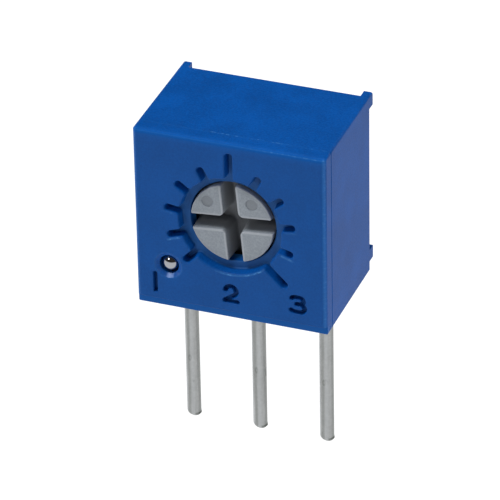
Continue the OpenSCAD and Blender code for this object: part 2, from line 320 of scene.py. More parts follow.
def turned(profile: Sequence[Point], centre: Point, steps: int, closed: bool = False) -> Form:
    """Turns a profile about an axis that runs from front to rear.

    A point lies at its radius times the sine and cosine of its angle from the centre, at its depth. A
    profile that starts or ends on the axis gets one point there and a fan of triangles.

    Args:
        profile: Radius and depth of each level.
        centre: Across and up of the axis.
        steps: Number of points round the axis.
        closed: Whether the profile is a closed loop away from the axis.

    Returns:
        The closed form.
    """
    angle = np.linspace(0, math.tau, steps, endpoint=False)
    radius, depth = np.array(profile, float).T
    rim = radius > 0
    across = centre[0] + radius[rim][:, None] * np.sin(angle)[None]
    up = centre[1] + radius[rim][:, None] * np.cos(angle)[None]
    level = np.broadcast_to(depth[rim][:, None], across.shape)
    points = np.stack(Sides.face(across, up, level), -1).reshape(-1, 3)
    levels = int(rim.sum())
    faces = ring_faces(levels, steps, closed)
    for pole, first in ((0, 0), (-1, (levels - 1) * steps)):
        if closed or rim[pole]:
            continue
        tip = np.array([[centre[0], Sides.front + depth[pole], centre[1]]])
        faces += [(len(points), first + i, first + (i + 1) % steps) for i in range(steps)]
        points = np.vstack([points, tip])
    return Form(points, faces)


def lip(radius: float, wall: float = 0.0, depth: float = 0.0, steps: int = 5) -> list[Point]:
    """Profile of a rounded edge that leads from a face into a wall.

    The offset is the radius less its share by the sine of the angle, and the depth is the radius less its
    share by the cosine.

    Args:
        radius: Radius of the edge.
        wall: Offset or radius of the wall that it leads into.
        depth: Depth of the face.
        steps: Number of points.

    Returns:
        Offset and depth of each point.
    """
    angle = np.radians(np.linspace(0, 90, steps))
    return list(zip(wall + radius * (1 - np.sin(angle)), depth + radius * (1 - np.cos(angle))))


def fillet(radius: float, wall: float, depth: float, steps: int = 5) -> list[Point]:
    """Profile of a round corner that leads from a wall into a floor.

    Args:
        radius: Radius of the corner.
        wall: Offset or radius of the wall.
        depth: Depth of the floor.
        steps: Number of points.

    Returns:
        Offset and depth of each point.
    """
    angle = np.radians(np.linspace(0, 90, steps))
    return list(zip(wall - radius * (1 - np.cos(angle)), depth - radius * (1 - np.sin(angle))))


ABOVE = 0.5
FLARE = 0.004
SKIM = 0.0004


def recess(depth: float, edge: float, corner: float, draft: float = 0.0, start: float = 0.0) -> list[Point]:
    """Profile of a moulded recess: a rounded edge, a drafted wall and a round corner at its floor.

    Args:
        depth: Depth of the floor below the face.
        edge: Radius of the edge.
        corner: Radius of the corner at the floor.
        draft: Distance that the wall leans in.
        start: Depth of the face that it is sunk in.

    Returns:
        Offset and depth of each level, from above the face down to the floor.
    """
    return ([(edge + FLARE, start - ABOVE)] + lip(edge, 0.0, start - SKIM)
            + fillet(corner, -draft, start + depth))


def combined(base: Form, name: str, steps: Sequence[tuple[Join, Form]]) -> bpy.types.Mesh:
    """Joins closed forms with a base, one after the other, by exact boolean operations.

    Args:
        base: The form to start from.
        name: Name of the mesh.
        steps: The ways of joining and the forms, in order.

    Returns:
        The new mesh, still in millimetres.
    """
    scene = bpy.context.scene.collection.objects
    body = bpy.data.objects.new(name + "_raw", base.mesh(name + "_raw"))
    scene.link(body)
    tools = []
    for number, (way, form) in enumerate(steps):
        tool = bpy.data.objects.new(f"tool_{number}", form.mesh(f"tool_{number}"))
        scene.link(tool)
        tools.append(tool)
        modifier = body.modifiers.new(f"step_{number}", "BOOLEAN")
        modifier.operation = way.value
        modifier.solver = "EXACT"
        modifier.object = tool
    state = body.evaluated_get(bpy.context.evaluated_depsgraph_get())
    mesh = bpy.data.meshes.new_from_object(state)
    mesh.name = name
    for extra in [body, *tools]:
        old = extra.data
        bpy.data.objects.remove(extra)
        bpy.data.meshes.remove(old)
    return mesh


@dataclass(frozen=True)
class FacePlan:
    """Places and depths on the front that the housing's shape and its finish share."""

    dial: Point = (0.0, 3.77)
    marks: int = 11
    span: float = 135.0
    ring_sink: float = 0.4
    vent: Point = (-2.3, 1.77)
    vent_bore: float = 0.36
    vent_chamfer: float = 0.15
    vent_chamfer_depth: float = 0.11
    numeral_sink: float = 0.2
    rim: float = 0.35
    parting: float = 0.64
    pitch: float = 2.54


@dataclass(frozen=True)
class HeadPlan:
    """Sizes of the rotor's head that its shape and its finish share."""

    radius: float = 1.51
    sink: float = 0.24
    rest: float = -5.0
    slot_half: float = 0.27
    slot_lip: float = 0.035
    slot_depth: float = 0.98
    ejector: float = 0.21
    ejector_at: float = 1.15

    def ejectors(self) -> list[Point]:
        """Centres of the two ejector marks, 45 degrees to either side of the pointer arm.

        Returns:
            Across and up of each.
        """
        out = np.array([[0.0, self.ejector_at]])
        return [tuple(turned_clockwise(out, self.rest + angle)[0] + FACE.dial) for angle in (-45, 45)]


FACE = FacePlan()
HEAD = HeadPlan()


class Wire:
    """A value in a node tree, on which Python's operators add Math nodes."""

    def __init__(self, graph: "Graph", socket: bpy.types.NodeSocket | None) -> None:
        """Holds an output socket of the graph's tree."""
        self.graph = graph
        self.socket = socket

    def math(self, operation: str, *others: Any) -> "Wire":
        """Adds a Math node.

        Args:
            operation: Name of the operation.
            others: The other values.

        Returns:
            Its result.
        """
        values = dict(enumerate((self, *others)))
        return self.graph.node("ShaderNodeMath", {"operation": operation}, values)

    def from_left(self, operation: str, other: Any) -> "Wire":
        """Adds a Math node whose first value is the other one."""
        return self.graph.node("ShaderNodeMath", {"operation": operation}, {0: other, 1: self})

    def __add__(self, other: Any) -> "Wire":
        """Sum."""
        return self.math("ADD", other)

    def __radd__(self, other: Any) -> "Wire":
        """Sum with a number on the left."""
        return self.from_left("ADD", other)

    def __sub__(self, other: Any) -> "Wire":
        """Difference."""
        return self.math("SUBTRACT", other)

    def __rsub__(self, other: Any) -> "Wire":
        """Difference from a number on the left."""
        return self.from_left("SUBTRACT", other)

    def __mul__(self, other: Any) -> "Wire":
        """Product."""
        return self.math("MULTIPLY", other)

    def __rmul__(self, other: Any) -> "Wire":
        """Product with a number on the left."""
        return self.from_left("MULTIPLY", other)

    def __truediv__(self, other: Any) -> "Wire":
        """Quotient."""
        return self.math("DIVIDE", other)

    def __abs__(self) -> "Wire":
        """Value without its sign."""
        return self.math("ABSOLUTE")

    def least(self, other: Any) -> "Wire":
        """Lesser of two values."""
        return self.math("MINIMUM", other)

    def most(self, other: Any) -> "Wire":
        """Greater of two values."""
        return self.math("MAXIMUM", other)

    def squared(self) -> "Wire":
        """Square of the value."""
        return self.math("POWER", 2.0)

    def fade(self, near: float, far: float) -> "Wire":
        """Smooth fall from 1 at one value to 0 at another.

        Args:
            near: Value that gives 1.
            far: Value that gives 0.

        Returns:
            The share between 0 and 1.
        """
        return self.graph.node("ShaderNodeMapRange", {"interpolation_type": "SMOOTHSTEP"},
                               {0: self, 1: near, 2: far, 3: 1.0, 4: 0.0})


@dataclass(frozen=True)
class Band:
    """A soft band of a value: its middle, how it fades on both sides, and the most that it gives."""

    middle: float
    fall: Fall
    share: float = 1.0

    def over(self, value: Wire) -> Wire:
        """Share of the band at a value."""
        mask = abs(value - self.middle).fade(*self.fall)
        return mask if self.share == 1.0 else mask * self.share


@dataclass(frozen=True)
class Tint:
    """A colour, and the most of it that its mask lays over what is below."""

    colour: Colour
    share: float = 1.0


def even_plus(shares: Shares, follows: Wire) -> Wire:
    """An even share plus a share that follows a wire.

    Args:
        shares: The even share and the one that follows.
        follows: What the second share follows, from 0 to 1.

    Returns:
        Their sum.
    """
    even, following = shares
    return even + following * follows


class Graph:
    """A node tree whose nodes all come from one method."""

    def __init__(self, tree: bpy.types.NodeTree) -> None:
        """Takes a tree and empties it."""
        self.tree = tree
        self.tree.nodes.clear()

    def node(self, kind: str, settings: Mapping[str, Any] | None = None,
             inputs: Mapping[int | str, Any] | None = None, output: int | str = 0) -> Wire:
        """Adds a node.

        Args:
            kind: Type of the node.
            settings: Its properties, or a ramp's stops under the name "stops".
            inputs: Values or wires for its sockets, by number or name.
            output: Number or name of the output to return.

        Returns:
            That output, or an empty wire where the node has none.
        """
        node = self.tree.nodes.new(kind)
        for key, value in (settings or {}).items():
            if key == "stops":
                for stop, (position, colour) in zip(node.color_ramp.elements, value):
                    stop.position = position
                    stop.color = (*colour, 1.0)
            else:
                setattr(node, key, value)
        for key, value in (inputs or {}).items():
            self.feed(node.inputs[key], value)
        return Wire(self, node.outputs[output] if node.outputs else None)

    def feed(self, socket: bpy.types.NodeSocket, value: Any) -> None:
        """Links a wire to a socket, or sets the socket to a plain value."""
        if isinstance(value, Wire):
            self.tree.links.new(value.socket, socket)
        else:
            socket.default_value = value


class Recipe(Graph):
    """The node tree of one material, with its Principled shader."""

    def __init__(self, name: str) -> None:
        """Starts a material with an empty tree and a Principled shader.

        Args:
            name: Name of the material.
        """
        self.material = bpy.data.materials.new(name)
        self.material.use_nodes = True
        super().__init__(self.material.node_tree)
        surface = self.node("ShaderNodeBsdfPrincipled")
        self.node("ShaderNodeOutputMaterial", None, {0: surface})
        self.shader = surface.socket.node
        self.place = self.node("ShaderNodeTexCoord", output="Object")

    def set(self, values: Mapping[str, Any]) -> None:
        """Feeds sockets of the Principled shader.

        Args:
            values: Values or wires, by the socket's name.
        """
        for name, value in values.items():
            self.feed(self.shader.inputs[name], value)

    def noise(self, size: float, detail: float = 2.0,
              stretch: tuple[float, float, float] | None = None) -> Wire:
        """Noise whose blots have a given size.

        Args:
            size: Size of a blot in millimetres.
            detail: Number of finer layers.
            stretch: Factors by which the blots are narrower along X, Y and Z.

        Returns:
            Values between 0 and 1.
        """
        place = self.place
        if stretch:
            place = self.node("ShaderNodeMapping", None, {"Vector": place, "Scale": stretch})
        return self.node("ShaderNodeTexNoise", None,
                         {"Vector": place, "Scale": 1 / (size * MM), "Detail": detail, "Roughness": 0.55})

    @cached_property
    def axes(self) -> tuple[Wire, Wire, Wire]:
        """Object coordinates X, Y and Z in millimetres."""
        scaled = self.node("ShaderNodeVectorMath", {"operation": "SCALE"}, {0: self.place, "Scale": 1 / MM})
        first = self.node("ShaderNodeSeparateXYZ", None, {0: scaled})
        return tuple(Wire(self, socket) for socket in first.socket.node.outputs)

    def distance(self, centre: Point) -> Wire:
        """Distance in millimetres from an axis that runs from front to rear.

        Args:
            centre: Across and up of the axis.

        Returns:
            The square root of the sum of both squared differences.
        """
        across, _, up = self.axes
        return ((across - centre[0]).squared() + (up - centre[1]).squared()).math("SQRT")

    def mix(self, share: Any, first: Colour | Wire, second: Colour | Wire) -> Wire:
        """Mixes two colours.

        Args:
            share: Share of the second colour.
            first: Colour at share 0.
            second: Colour at share 1.

        Returns:
            The mixed colour.
        """
        pair = [c if isinstance(c, Wire) else (*c, 1.0) for c in (first, second)]
        return self.node("ShaderNodeMix", {"data_type": "RGBA"}, {0: share, 6: pair[0], 7: pair[1]}, 2)

    def layered(self, base: Wire, *layers: tuple[Wire, Tint]) -> Wire:
        """Lays tints over a colour, one after the other.

        Args:
            base: The colour below.
            layers: Each layer's mask and tint.

        Returns:
            The colour on top.
        """
        for mask, tint in layers:
            base = self.mix(mask if tint.share == 1.0 else mask * tint.share, base, tint.colour)
        return base

    def relief(self, *layers: tuple[Wire, float]) -> Wire:
        """Normals of a surface that is raised by layers of height.

        Args:
            layers: Each layer's height from 0 to 1, and the millimetres that 1 stands for.

        Returns:
            The normals.
        """
        height = sum(value * depth for value, depth in layers)
        return self.node("ShaderNodeBump", None, {"Strength": 1.0, "Distance": MM, "Height": height})


@dataclass(frozen=True)
class Finish:
    """A plain finish: a colour that varies in soft blots, and a fine grain."""

    slot: str
    colour: Colour
    roughness: float
    spread: float = 0.12
    metallic: float = 0.0
    specular: float = 0.5
    blot: float = 0.6
    blot_share: float = 0.08
    grain: float = 0.06
    grain_height: float = 0.002
    coat: float = 0.0
    coat_roughness: float = 0.12

    def tone(self, recipe: Recipe) -> Wire:
        """Colour of the finish, darker and lighter in soft blots.

        Args:
            recipe: The material to add nodes to.

        Returns:
            The colour.
        """
        dark = tuple(c * (1 - self.blot_share) for c in self.colour)
        light = tuple(min(1.0, c * (1 + self.blot_share)) for c in self.colour)
        share = recipe.noise(self.blot, 3.0) * 0.5 + recipe.noise(self.grain, 1.0) * 0.5
        return recipe.mix(share.fade(0.7, 0.3), dark, light)

    def roughly(self, texture: Wire) -> Wire:
        """Roughness that varies evenly with a texture."""
        return (texture - 0.5) * self.spread + self.roughness

    def dress(self, recipe: Recipe) -> None:
        """Feeds the shader. A kind of finish with more to show does this in its own way.

        Args:
            recipe: The material to add nodes to.
        """
        grain = recipe.noise(self.grain)
        recipe.set({"Base Color": self.tone(recipe), "Normal": recipe.relief((grain, self.grain_height)),
                    "Roughness": self.roughly(grain)})

    def material(self) -> bpy.types.Material:
        """Makes the material.

        Returns:
            The material, named for its slot.
        """
        recipe = Recipe(self.slot)
        recipe.set({"Metallic": self.metallic, "Specular IOR Level": self.specular, "Coat Weight": self.coat,
                    "Coat Roughness": self.coat_roughness})
        self.dress(recipe)
        return recipe.material


class FaceWires:
    """Where a point lies on the housing, as wires that several masks share."""

    def __init__(self, recipe: Recipe, half: float, top: float) -> None:
        """Works out the distances.

        Args:
            recipe: The material to add nodes to.
            half: Half the housing's width.
            top: Height of its top.
        """
        self.recipe = recipe
        self.across, rearward, self.up = recipe.axes
        self.depth = rearward - Sides.front
        self.below_top = top - self.up
        self.within = half - abs(self.across)
        self.to_top = abs(self.depth).most(abs(self.below_top))
        self.to_side = abs(self.depth).most(abs(self.within))
        self.far = recipe.distance(FACE.dial)


@dataclass(frozen=True)
class MouldedBlue(Finish):
    """Blue moulding compound: fine spark texture, scuffs on the mould's lines, and painted light and shade.

    A painted sheen lays a greyer blue on the front face, the recess floors and the side edges. Painted light
    lies along the edges, on the set-back foot and in the bore, painted shade in the ring's crease and the
    numerals, painted highlights along the lower lips and a painted glint under the vent.

    A pair of two distances fades from 1 at the first to 0 at the second. A pair of shares is the even one
    and the one that follows the flecks or another mask.
    """

    spread: float = 0.15
    coat_roughness: float = 0.3
    top_smoother: float = 0.2
    edge_rougher: float = 0.4
    edge_reach: Fall = (0.05, 0.2)
    flat_top: Fall = (0.002, 0.012)
    fine: float = 0.03
    blur: float = 0.3
    fleck: float = 0.15
    fleck_cut: Fall = (0.66, 0.5)
    gap: float = 1.1
    gap_cut: Fall = (0.56, 0.48)
    half: float = float(node_box("housing")[1][0])
    top: float = float(node_box("housing")[1][2])

    # Painted sheen: the front face is laid a greyer blue than the top and the sides.
    front_sheen: Tint = Tint((0.009, 0.075, 0.275), 0.5)
    front_sheen_depth: Fall = (0.02, 0.06)
    # Painted light: a lighter, purer blue along the top and side edges, where they turn to the light.
    painted_highlight_tint: Tint = Tint((0.002, 0.1, 0.42))
    top_painted_light: Band = Band(0.0, (0.04, 0.35), 0.45)
    side_painted_light: Band = Band(0.0, (0.03, 0.16), 0.6)
    # Tint of the scuffs, which also paints highlights on the lips and a sheen on the side edges.
    scuff_and_highlight: Tint = Tint((0.08, 0.27, 0.6))
    fleck_height: float = 0.006

    # Painted light: the set-back foot is laid a lighter blue against the shade that it lies in.
    foot: Tint = Tint((0.004, 0.095, 0.37))
    foot_top: Fall = (0.33, 0.38)
    front_depth: Fall = (0.3, 0.35)
    foot_line: Band = Band(0.365, (0.0, 0.035))
    foot_shade: Tint = Tint((0.0002, 0.035, 0.14), 0.35)

    margin: Fall = (0.3, 0.2)
    # Painted sheen: the ring's floor is laid a greyer, purplish blue.
    sunk: Tint = Tint((0.024, 0.1, 0.285), 0.75)
    ring_floor: Band = Band(FACE.ring_sink, (0.01, 0.09))
    ring_above: Fall = (1.6, 1.55)
    # Painted shade in the crease at the foot of the ring's wall.
    painted_crease_shade: Tint = Tint((0.0002, 0.035, 0.14), 0.4)
    ring_crease_shade: Band = Band(FACE.ring_sink - 0.07, (0.0, 0.07))
    ring_reach: Fall = (2.9, 3.0)
    # Painted shade: the numerals' floors are laid a dark blue.
    painted_numeral_shade: Tint = Tint((0.0002, 0.035, 0.14), 0.6)
    numeral_depth: Fall = (FACE.numeral_sink, 0.03)
    numeral_height: Band = Band(1.03, (0.52, 0.57))
    # Painted light: the bore's wall deep behind the ring is laid a lighter blue.
    painted_bore_light: Tint = Tint((0.03, 0.19, 0.46))
    bore_reach: Fall = (1.6, 1.62)
    bore_depth: Fall = (1.0, 0.5)

    glint: Tint = Tint((0.24, 0.4, 0.8), 0.5)
    vent_soft: float = 0.03
    vent_depth: Fall = (FACE.vent_chamfer_depth, 0.13)
    vent_low: Fall = (-0.32, -0.2)
    vent_glint: Band = Band(FACE.vent[0] + 0.05, (0.08, 0.17))
    vent_halo: Band = Band(FACE.vent_bore + FACE.vent_chamfer, (0.0, 0.05), 0.08)
    halo_depth: Fall = (0.02, 0.04)
    vent_polish: Shares = (0.12, 0.88)

    top_edge: Fall = (0.02, 0.075)
    top_even: float = 0.1
    top_scuffs: Shares = (0.05, 0.45)
    top_right: Fall = (1.9, -0.4)
    # Painted sheen on the rounded side edges, laid with the scuffs' tint.
    side_edge: Fall = (0.04, 0.15)
    side_sheen_shares: Shares = (0.24, 0.2)
    parting_line: Band = Band(FACE.parting, (0.0, 0.045))
    parting_top: Fall = (0.0, 0.06)
    parting_scuffs: Shares = (0.05, 0.5)
    # Painted highlights along the lower lips of the ring and its marks, laid with the scuffs' tint.
    lip_depth: Fall = (0.04, 0.1)
    lip_highlight_shares: Shares = (0.25, 0.5)
    mark_lip: Band = Band(0.18, (0.0, 0.06))
    mark_middle: Band = Band(2.25, (0.15, 0.3))
    mark_low: Fall = (-0.6, 0.5)
    mark_last: Fall = (2.05, 2.12)
    ring_lip: Band = Band(1.93, (0.0, 0.05))
    ring_low: Fall = (-1.6, -1.3)
    ring_glint: Band = Band(0.42, (0.7, 1.1))

    def floors(self, at: FaceWires) -> tuple[Wire, Wire]:
        """Shares of the dial's floor, for its painted sheen, and of the numerals' floors, for their painted
        shade, by their depths inside the face.

        Args:
            at: Where the point lies.

        Returns:
            The share of each.
        """
        inside = at.within.fade(*self.margin) * at.below_top.fade(*self.margin)
        dial = self.ring_floor.over(at.depth) * at.up.fade(*self.ring_above)
        numeral = at.depth.fade(*self.numeral_depth) * self.numeral_height.over(at.up)
        return inside * dial, inside * numeral

    def painted_lip_highlights(self, at: FaceWires) -> Wire:
        """Share of painted highlight along the upward-facing lower lips of the ring and of its marks.

        A point's distance from the nearest mark's middle is its radius times the sine of the angle between
        them, and the lip that faces up lies on the outer side of the mark.

        Args:
            at: Where the point lies.

        Returns:
            The share, from 0 to 1.
        """
        side, rise = at.across - FACE.dial[0], at.up - FACE.dial[1]
        angle = side.math("ARCTAN2", rise)
        step = math.radians(2 * FACE.span / (FACE.marks - 1))
        off = angle - (angle / step).math("ROUND") * step
        beside = at.far * off.math("SINE") * side.math("SIGN")
        mark = self.mark_lip.over(beside) * self.mark_middle.over(at.far)
        low = rise.fade(*self.mark_low) * abs(angle).fade(*self.mark_last)
        ring = self.ring_lip.over(at.far) * rise.fade(*self.ring_low) * self.ring_glint.over(side)
        return (mark * low).most(ring)

    def scuffs_and_highlights(self, at: FaceWires, fleck: Wire) -> Wire:
        """Share of scuffs on the upper edge and the parting line, painted sheen on the side edges and painted
        highlights on the lips.

        Args:
            at: Where the point lies.
            fleck: Flecks that break the scuffs up.

        Returns:
            The share, from 0 to 1.
        """
        right = at.across.fade(*self.top_right)
        top = at.to_top.fade(*self.top_edge) * (self.top_even + right * even_plus(self.top_scuffs, fleck))
        side = at.to_side.fade(*self.side_edge) * even_plus(self.side_sheen_shares, fleck)
        broken = at.recipe.noise(self.gap, 1.0).fade(*self.gap_cut)
        line = self.parting_line.over(at.depth) * at.below_top.fade(*self.parting_top)
        line = line * even_plus(self.parting_scuffs, fleck * broken)
        lips = self.painted_lip_highlights(at) * at.depth.fade(*self.lip_depth) * even_plus(self.lip_highlight_shares, fleck)
        return (top + side + line + lips).least(1.0)

    def vent_masks(self, at: FaceWires) -> tuple[Wire, Wire, Wire]:
        """Masks of the vent's chamfer.

        Args:
            at: Where the point lies.

        Returns:
            The shares of its polish, of the glint at its foot and of the pale line round it.
        """
        edge = self.vent_halo.middle
        around = at.recipe.distance(FACE.vent)
        chamfer = around.fade(edge - self.vent_soft, edge) * at.depth.fade(*self.vent_depth)
        low = (at.up - FACE.vent[1]).fade(*self.vent_low)
        halo = self.vent_halo.over(around) * at.depth.fade(*self.halo_depth)
        glint = chamfer * low * self.vent_glint.over(at.across)
        return chamfer * even_plus(self.vent_polish, low), glint, halo

    def dress(self, recipe: Recipe) -> None:
        """Adds the recesses' painted sheen and shade, painted light on the edges, foot and bore, a painted
        glint under the vent, painted highlights on the lips, a smoother top and vent, and scuffs.

        Args:
            recipe: The material to add nodes to.
        """
        at = FaceWires(recipe, self.half, self.top)
        fleck = recipe.noise(self.fleck, 3.0, (1.0, 1.6, 1.6)).fade(*self.fleck_cut)
        uneven = 0.5 + recipe.noise(self.blur, 2.0)
        fine = recipe.noise(self.fine, 2.0)
        scuffs_and_highlights = self.scuffs_and_highlights(at, fleck)
        dial, numeral = self.floors(at)
        polish, glint, halo = self.vent_masks(at)
        # Painted light along the top and side edges.
        painted_highlight = self.top_painted_light.over(at.to_top) + self.side_painted_light.over(at.to_side) * uneven
        in_front = at.depth.fade(*self.front_depth)
        tone = recipe.layered(
            self.tone(recipe),
            # Painted sheen on the front face.
            (at.depth.fade(*self.front_sheen_depth), self.front_sheen),
            # Painted light on the top and side edges.
            (painted_highlight.least(1.0), self.painted_highlight_tint),
            # Painted light on the set-back foot.
            (in_front * at.up.fade(*self.foot_top), self.foot),
            # Painted sheen on the ring's floor.
            (dial, self.sunk),
            # Painted shade in the ring's crease.
            (self.ring_crease_shade.over(at.depth) * at.far.fade(*self.ring_reach), self.painted_crease_shade),
            (glint, self.glint),
            # Painted light on the bore's wall.
            (at.far.fade(*self.bore_reach) * at.depth.fade(*self.bore_depth), self.painted_bore_light),
            # Painted shade in the numerals.
            (numeral, self.painted_numeral_shade),
            (in_front * self.foot_line.over(at.up), self.foot_shade),
            # Scuffs, with painted sheen on the side edges and painted highlights on the lips.
            ((scuffs_and_highlights + halo).least(1.0), self.scuff_and_highlight),
        )
        flat_top = at.below_top.fade(*self.flat_top)
        recipe.set({
            "Base Color": tone,
            "Normal": recipe.relief((recipe.noise(self.grain, 2.0), self.grain_height),
                                    (fine, self.grain_height * 0.5), (fleck * scuffs_and_highlights, self.fleck_height)),
            "Roughness": (self.roughly(fine) - flat_top * self.top_smoother
                          + at.to_top.fade(*self.edge_reach) * self.edge_rougher),
            "Coat Weight": polish,
        })


@dataclass(frozen=True)
class MouldedGrey(Finish):
    """Grey moulding compound: mottled filler, darker ejector marks, pale edges that are a painted highlight,
    and a dark slot that is painted shade.
    """

    spread: float = 0.2
    mottle: float = 0.09
    mottled: Fall = (0.35, 0.62)
    filler_tone: float = 0.8
    filler_share: float = 0.55
    # Painted highlight: the edges of the head's face and of its slot are laid a pale grey.
    pale: Tint = Tint((0.4, 0.43, 0.47), 0.7)
    edge_width: Fall = (0.02, 0.06)
    edge_depth: Fall = (0.03, 0.07)
    ejected: Tint = Tint((0.2, 0.222, 0.25), 0.75)
    ejector_edge: Fall = (-0.02, 0.02)
    ejector_depth: Fall = (0.05, 0.1)
    # Painted shade: the slot is laid darker with its depth below the face.
    deep: Tint = Tint((0.185, 0.195, 0.21), 0.93)
    slot_shade: Fall = (0.42, 0.0)

    def dress(self, recipe: Recipe) -> None:
        """Adds darker specks of filler, darker ejector marks, a painted highlight on the edges and painted
        shade that darkens the slot with depth.

        Args:
            recipe: The material to add nodes to.
        """
        across, rearward, up = recipe.axes
        across, up = across - FACE.dial[0], up - FACE.dial[1]
        cos, sin = math.cos(math.radians(HEAD.rest)), math.sin(math.radians(HEAD.rest))
        beside, along = abs(across * cos - up * sin), abs(across * sin + up * cos)
        below = rearward - (Sides.front + HEAD.sink)
        to_slot = abs(beside.least(along) - (HEAD.slot_half + HEAD.slot_lip))
        to_edge = to_slot.least(abs(recipe.distance(FACE.dial) - HEAD.radius))
        first, second = (recipe.distance(centre) for centre in HEAD.ejectors())
        speck = recipe.noise(self.mottle, 3.0)
        filler = Tint(tuple(c * self.filler_tone for c in self.colour), self.filler_share)
        tone = recipe.layered(
            self.tone(recipe),
            (speck.fade(*self.mottled), filler),
            ((first.least(second) - HEAD.ejector).fade(*self.ejector_edge)
             * below.fade(*self.ejector_depth), self.ejected),
            # Painted highlight on the edges.
            (to_edge.fade(*self.edge_width) * below.fade(*self.edge_depth), self.pale),
            # Painted shade in the slot.
            (below.fade(*self.slot_shade), self.deep),
        )
        recipe.set({
            "Base Color": tone,
            "Normal": recipe.relief((recipe.noise(self.grain), self.grain_height),
                                    (speck, self.grain_height)),
            "Roughness": self.roughly(speck),
        })


@dataclass(frozen=True)
class DrawnTin(Finish):
    """Tin plate over drawn wire: painted reflection bands and fine lines along it, and small dull spots."""

    spread: float = 0.25
    radius: float = 0.255
    # Dark tint of the dull spots, the nick and the cut end, which also paints the dark reflection bands.
    dull: Tint = Tint((0.13, 0.14, 0.13))
    # Painted reflection: tint of the light bands along each wire.
    painted_highlight_tint: Tint = Tint((0.5, 0.52, 0.54))
    # Painted reflection: a dark band along each wire, and a darker right side.
    dark_reflection_band: Band = Band(-0.07, (0.02, 0.09), 0.35)
    right_side: Fall = (0.0, 0.06)
    right_share: float = 0.5
    highlight_bands: tuple[Band, Band] = (Band(-0.19, (0.01, 0.05), 0.7), Band(0.06, (0.02, 0.1), 0.25))
    sway: float = 0.08
    line_share: float = 0.3
    spotted: Fall = (0.74, 0.64)
    spot_share: float = 0.6
    spot_rougher: float = 0.15
    nick: Point = (-0.015, -3.58)
    nick_half: Point = (0.06, 0.13)
    nick_edge: Band = Band(0.7, (0.1, 0.6), 0.4)
    cut_edge: Band = Band(-6.0, (0.02, 0.08), 0.8)
    cut_side: Fall = (0.16, 0.08)

    def marks(self, beside: Wire, up: Wire) -> Wire:
        """Share of the nick on each wire and of the dull edge of its cut end.

        The nick is a ring: the distance from its middle, in halves of its own width and height.

        Args:
            beside: Distance from the wire's own middle.
            up: Object coordinate Z.

        Returns:
            The share.
        """
        middle, half = self.nick, self.nick_half
        off = ((beside - middle[0]) / half[0]).squared() + ((up - middle[1]) / half[1]).squared()
        return self.nick_edge.over(off.math("SQRT")) + self.cut_edge.over(up) * beside.fade(*self.cut_side)

    def dress(self, recipe: Recipe) -> None:
        """Adds painted reflection bands, light and dark, that follow the nearest wire's own middle, a painted
        dark reflection on its right side, drawing lines along Z and dull spots.

        Args:
            recipe: The material to add nodes to.
        """
        across, _, up = recipe.axes
        beside = across - (across / FACE.pitch).math("ROUND") * FACE.pitch
        line = recipe.noise(0.05, 3.0, (1.0, 1.0, 0.05))
        wandering = beside + (recipe.noise(0.9, 1.0, (1.0, 1.0, 0.4)) - 0.5) * self.sway
        # Painted dark reflection along each wire's right side.
        edge = (self.radius - beside).fade(*self.right_side) * self.right_share
        dark_reflection = self.dark_reflection_band.over(wandering) + edge
        # Painted reflection: the light bands along each wire.
        painted_highlight = self.highlight_bands[0].over(wandering) + self.highlight_bands[1].over(wandering)
        spot = recipe.noise(0.4, 4.0, (1.0, 1.0, 0.5)).fade(*self.spotted)
        # Dull spots, nick, cut end and drawing lines, with the painted dark reflections.
        dull_spots_and_dark_reflections = dark_reflection + spot * self.spot_share + self.marks(beside, up) + (line - 0.5) * self.line_share
        recipe.set({
            "Base Color": recipe.layered(self.tone(recipe), (dull_spots_and_dark_reflections.most(0.0), self.dull),
                                         (painted_highlight, self.painted_highlight_tint)),
            "Normal": recipe.relief((line, self.grain_height),
                                    (recipe.noise(self.grain), self.grain_height)),
            "Roughness": self.roughly(line) + spot * self.spot_rougher,
        })


FINISHES: dict[str, Finish] = {finish.slot: finish for finish in (
    MouldedBlue("housing_plastic", (0.0003, 0.068, 0.306), 0.5, specular=0.1, grain=0.07, grain_height=0.005,
                blot=1.4, blot_share=0.18),
    MouldedGrey("rotor_plastic", (0.28, 0.315, 0.355), 0.5, specular=0.2, grain=0.05, grain_height=0.002,
                blot_share=0.1),
    Finish("seal_rubber", (0.012, 0.012, 0.013), 0.6, grain=0.03, blot_share=0.2),
    Finish("contact_alloy", (0.62, 0.44, 0.18), 0.28, metallic=1.0, grain=0.04, grain_height=0.0006),
    Finish("ceramic", (0.78, 0.75, 0.68), 0.55, grain=0.03, grain_height=0.001, blot_share=0.04),
    Finish("resistive_film", (0.02, 0.018, 0.017), 0.4, grain=0.02, grain_height=0.0008, blot_share=0.25),
    Finish("conductive_film", (0.56, 0.54, 0.48), 0.42, metallic=1.0, grain=0.03, grain_height=0.001),
    Finish("solder", (0.56, 0.57, 0.58), 0.3, metallic=1.0, grain=0.12, grain_height=0.003, blot=0.2),
    DrawnTin("tinned_wire", (0.34, 0.35, 0.35), 0.38, metallic=1.0, grain=0.09, grain_height=0.0015, blot=0.4),
    Finish("polished_steel", (0.34, 0.35, 0.375), 0.08, metallic=1.0, grain=0.05, grain_height=0.00005,
           blot_share=0.02),
    Finish("sealing_resin", (0.006, 0.03, 0.11), 0.3, grain=0.7, grain_height=0.012, blot=0.9, blot_share=0.15,
           coat=0.4),
)}


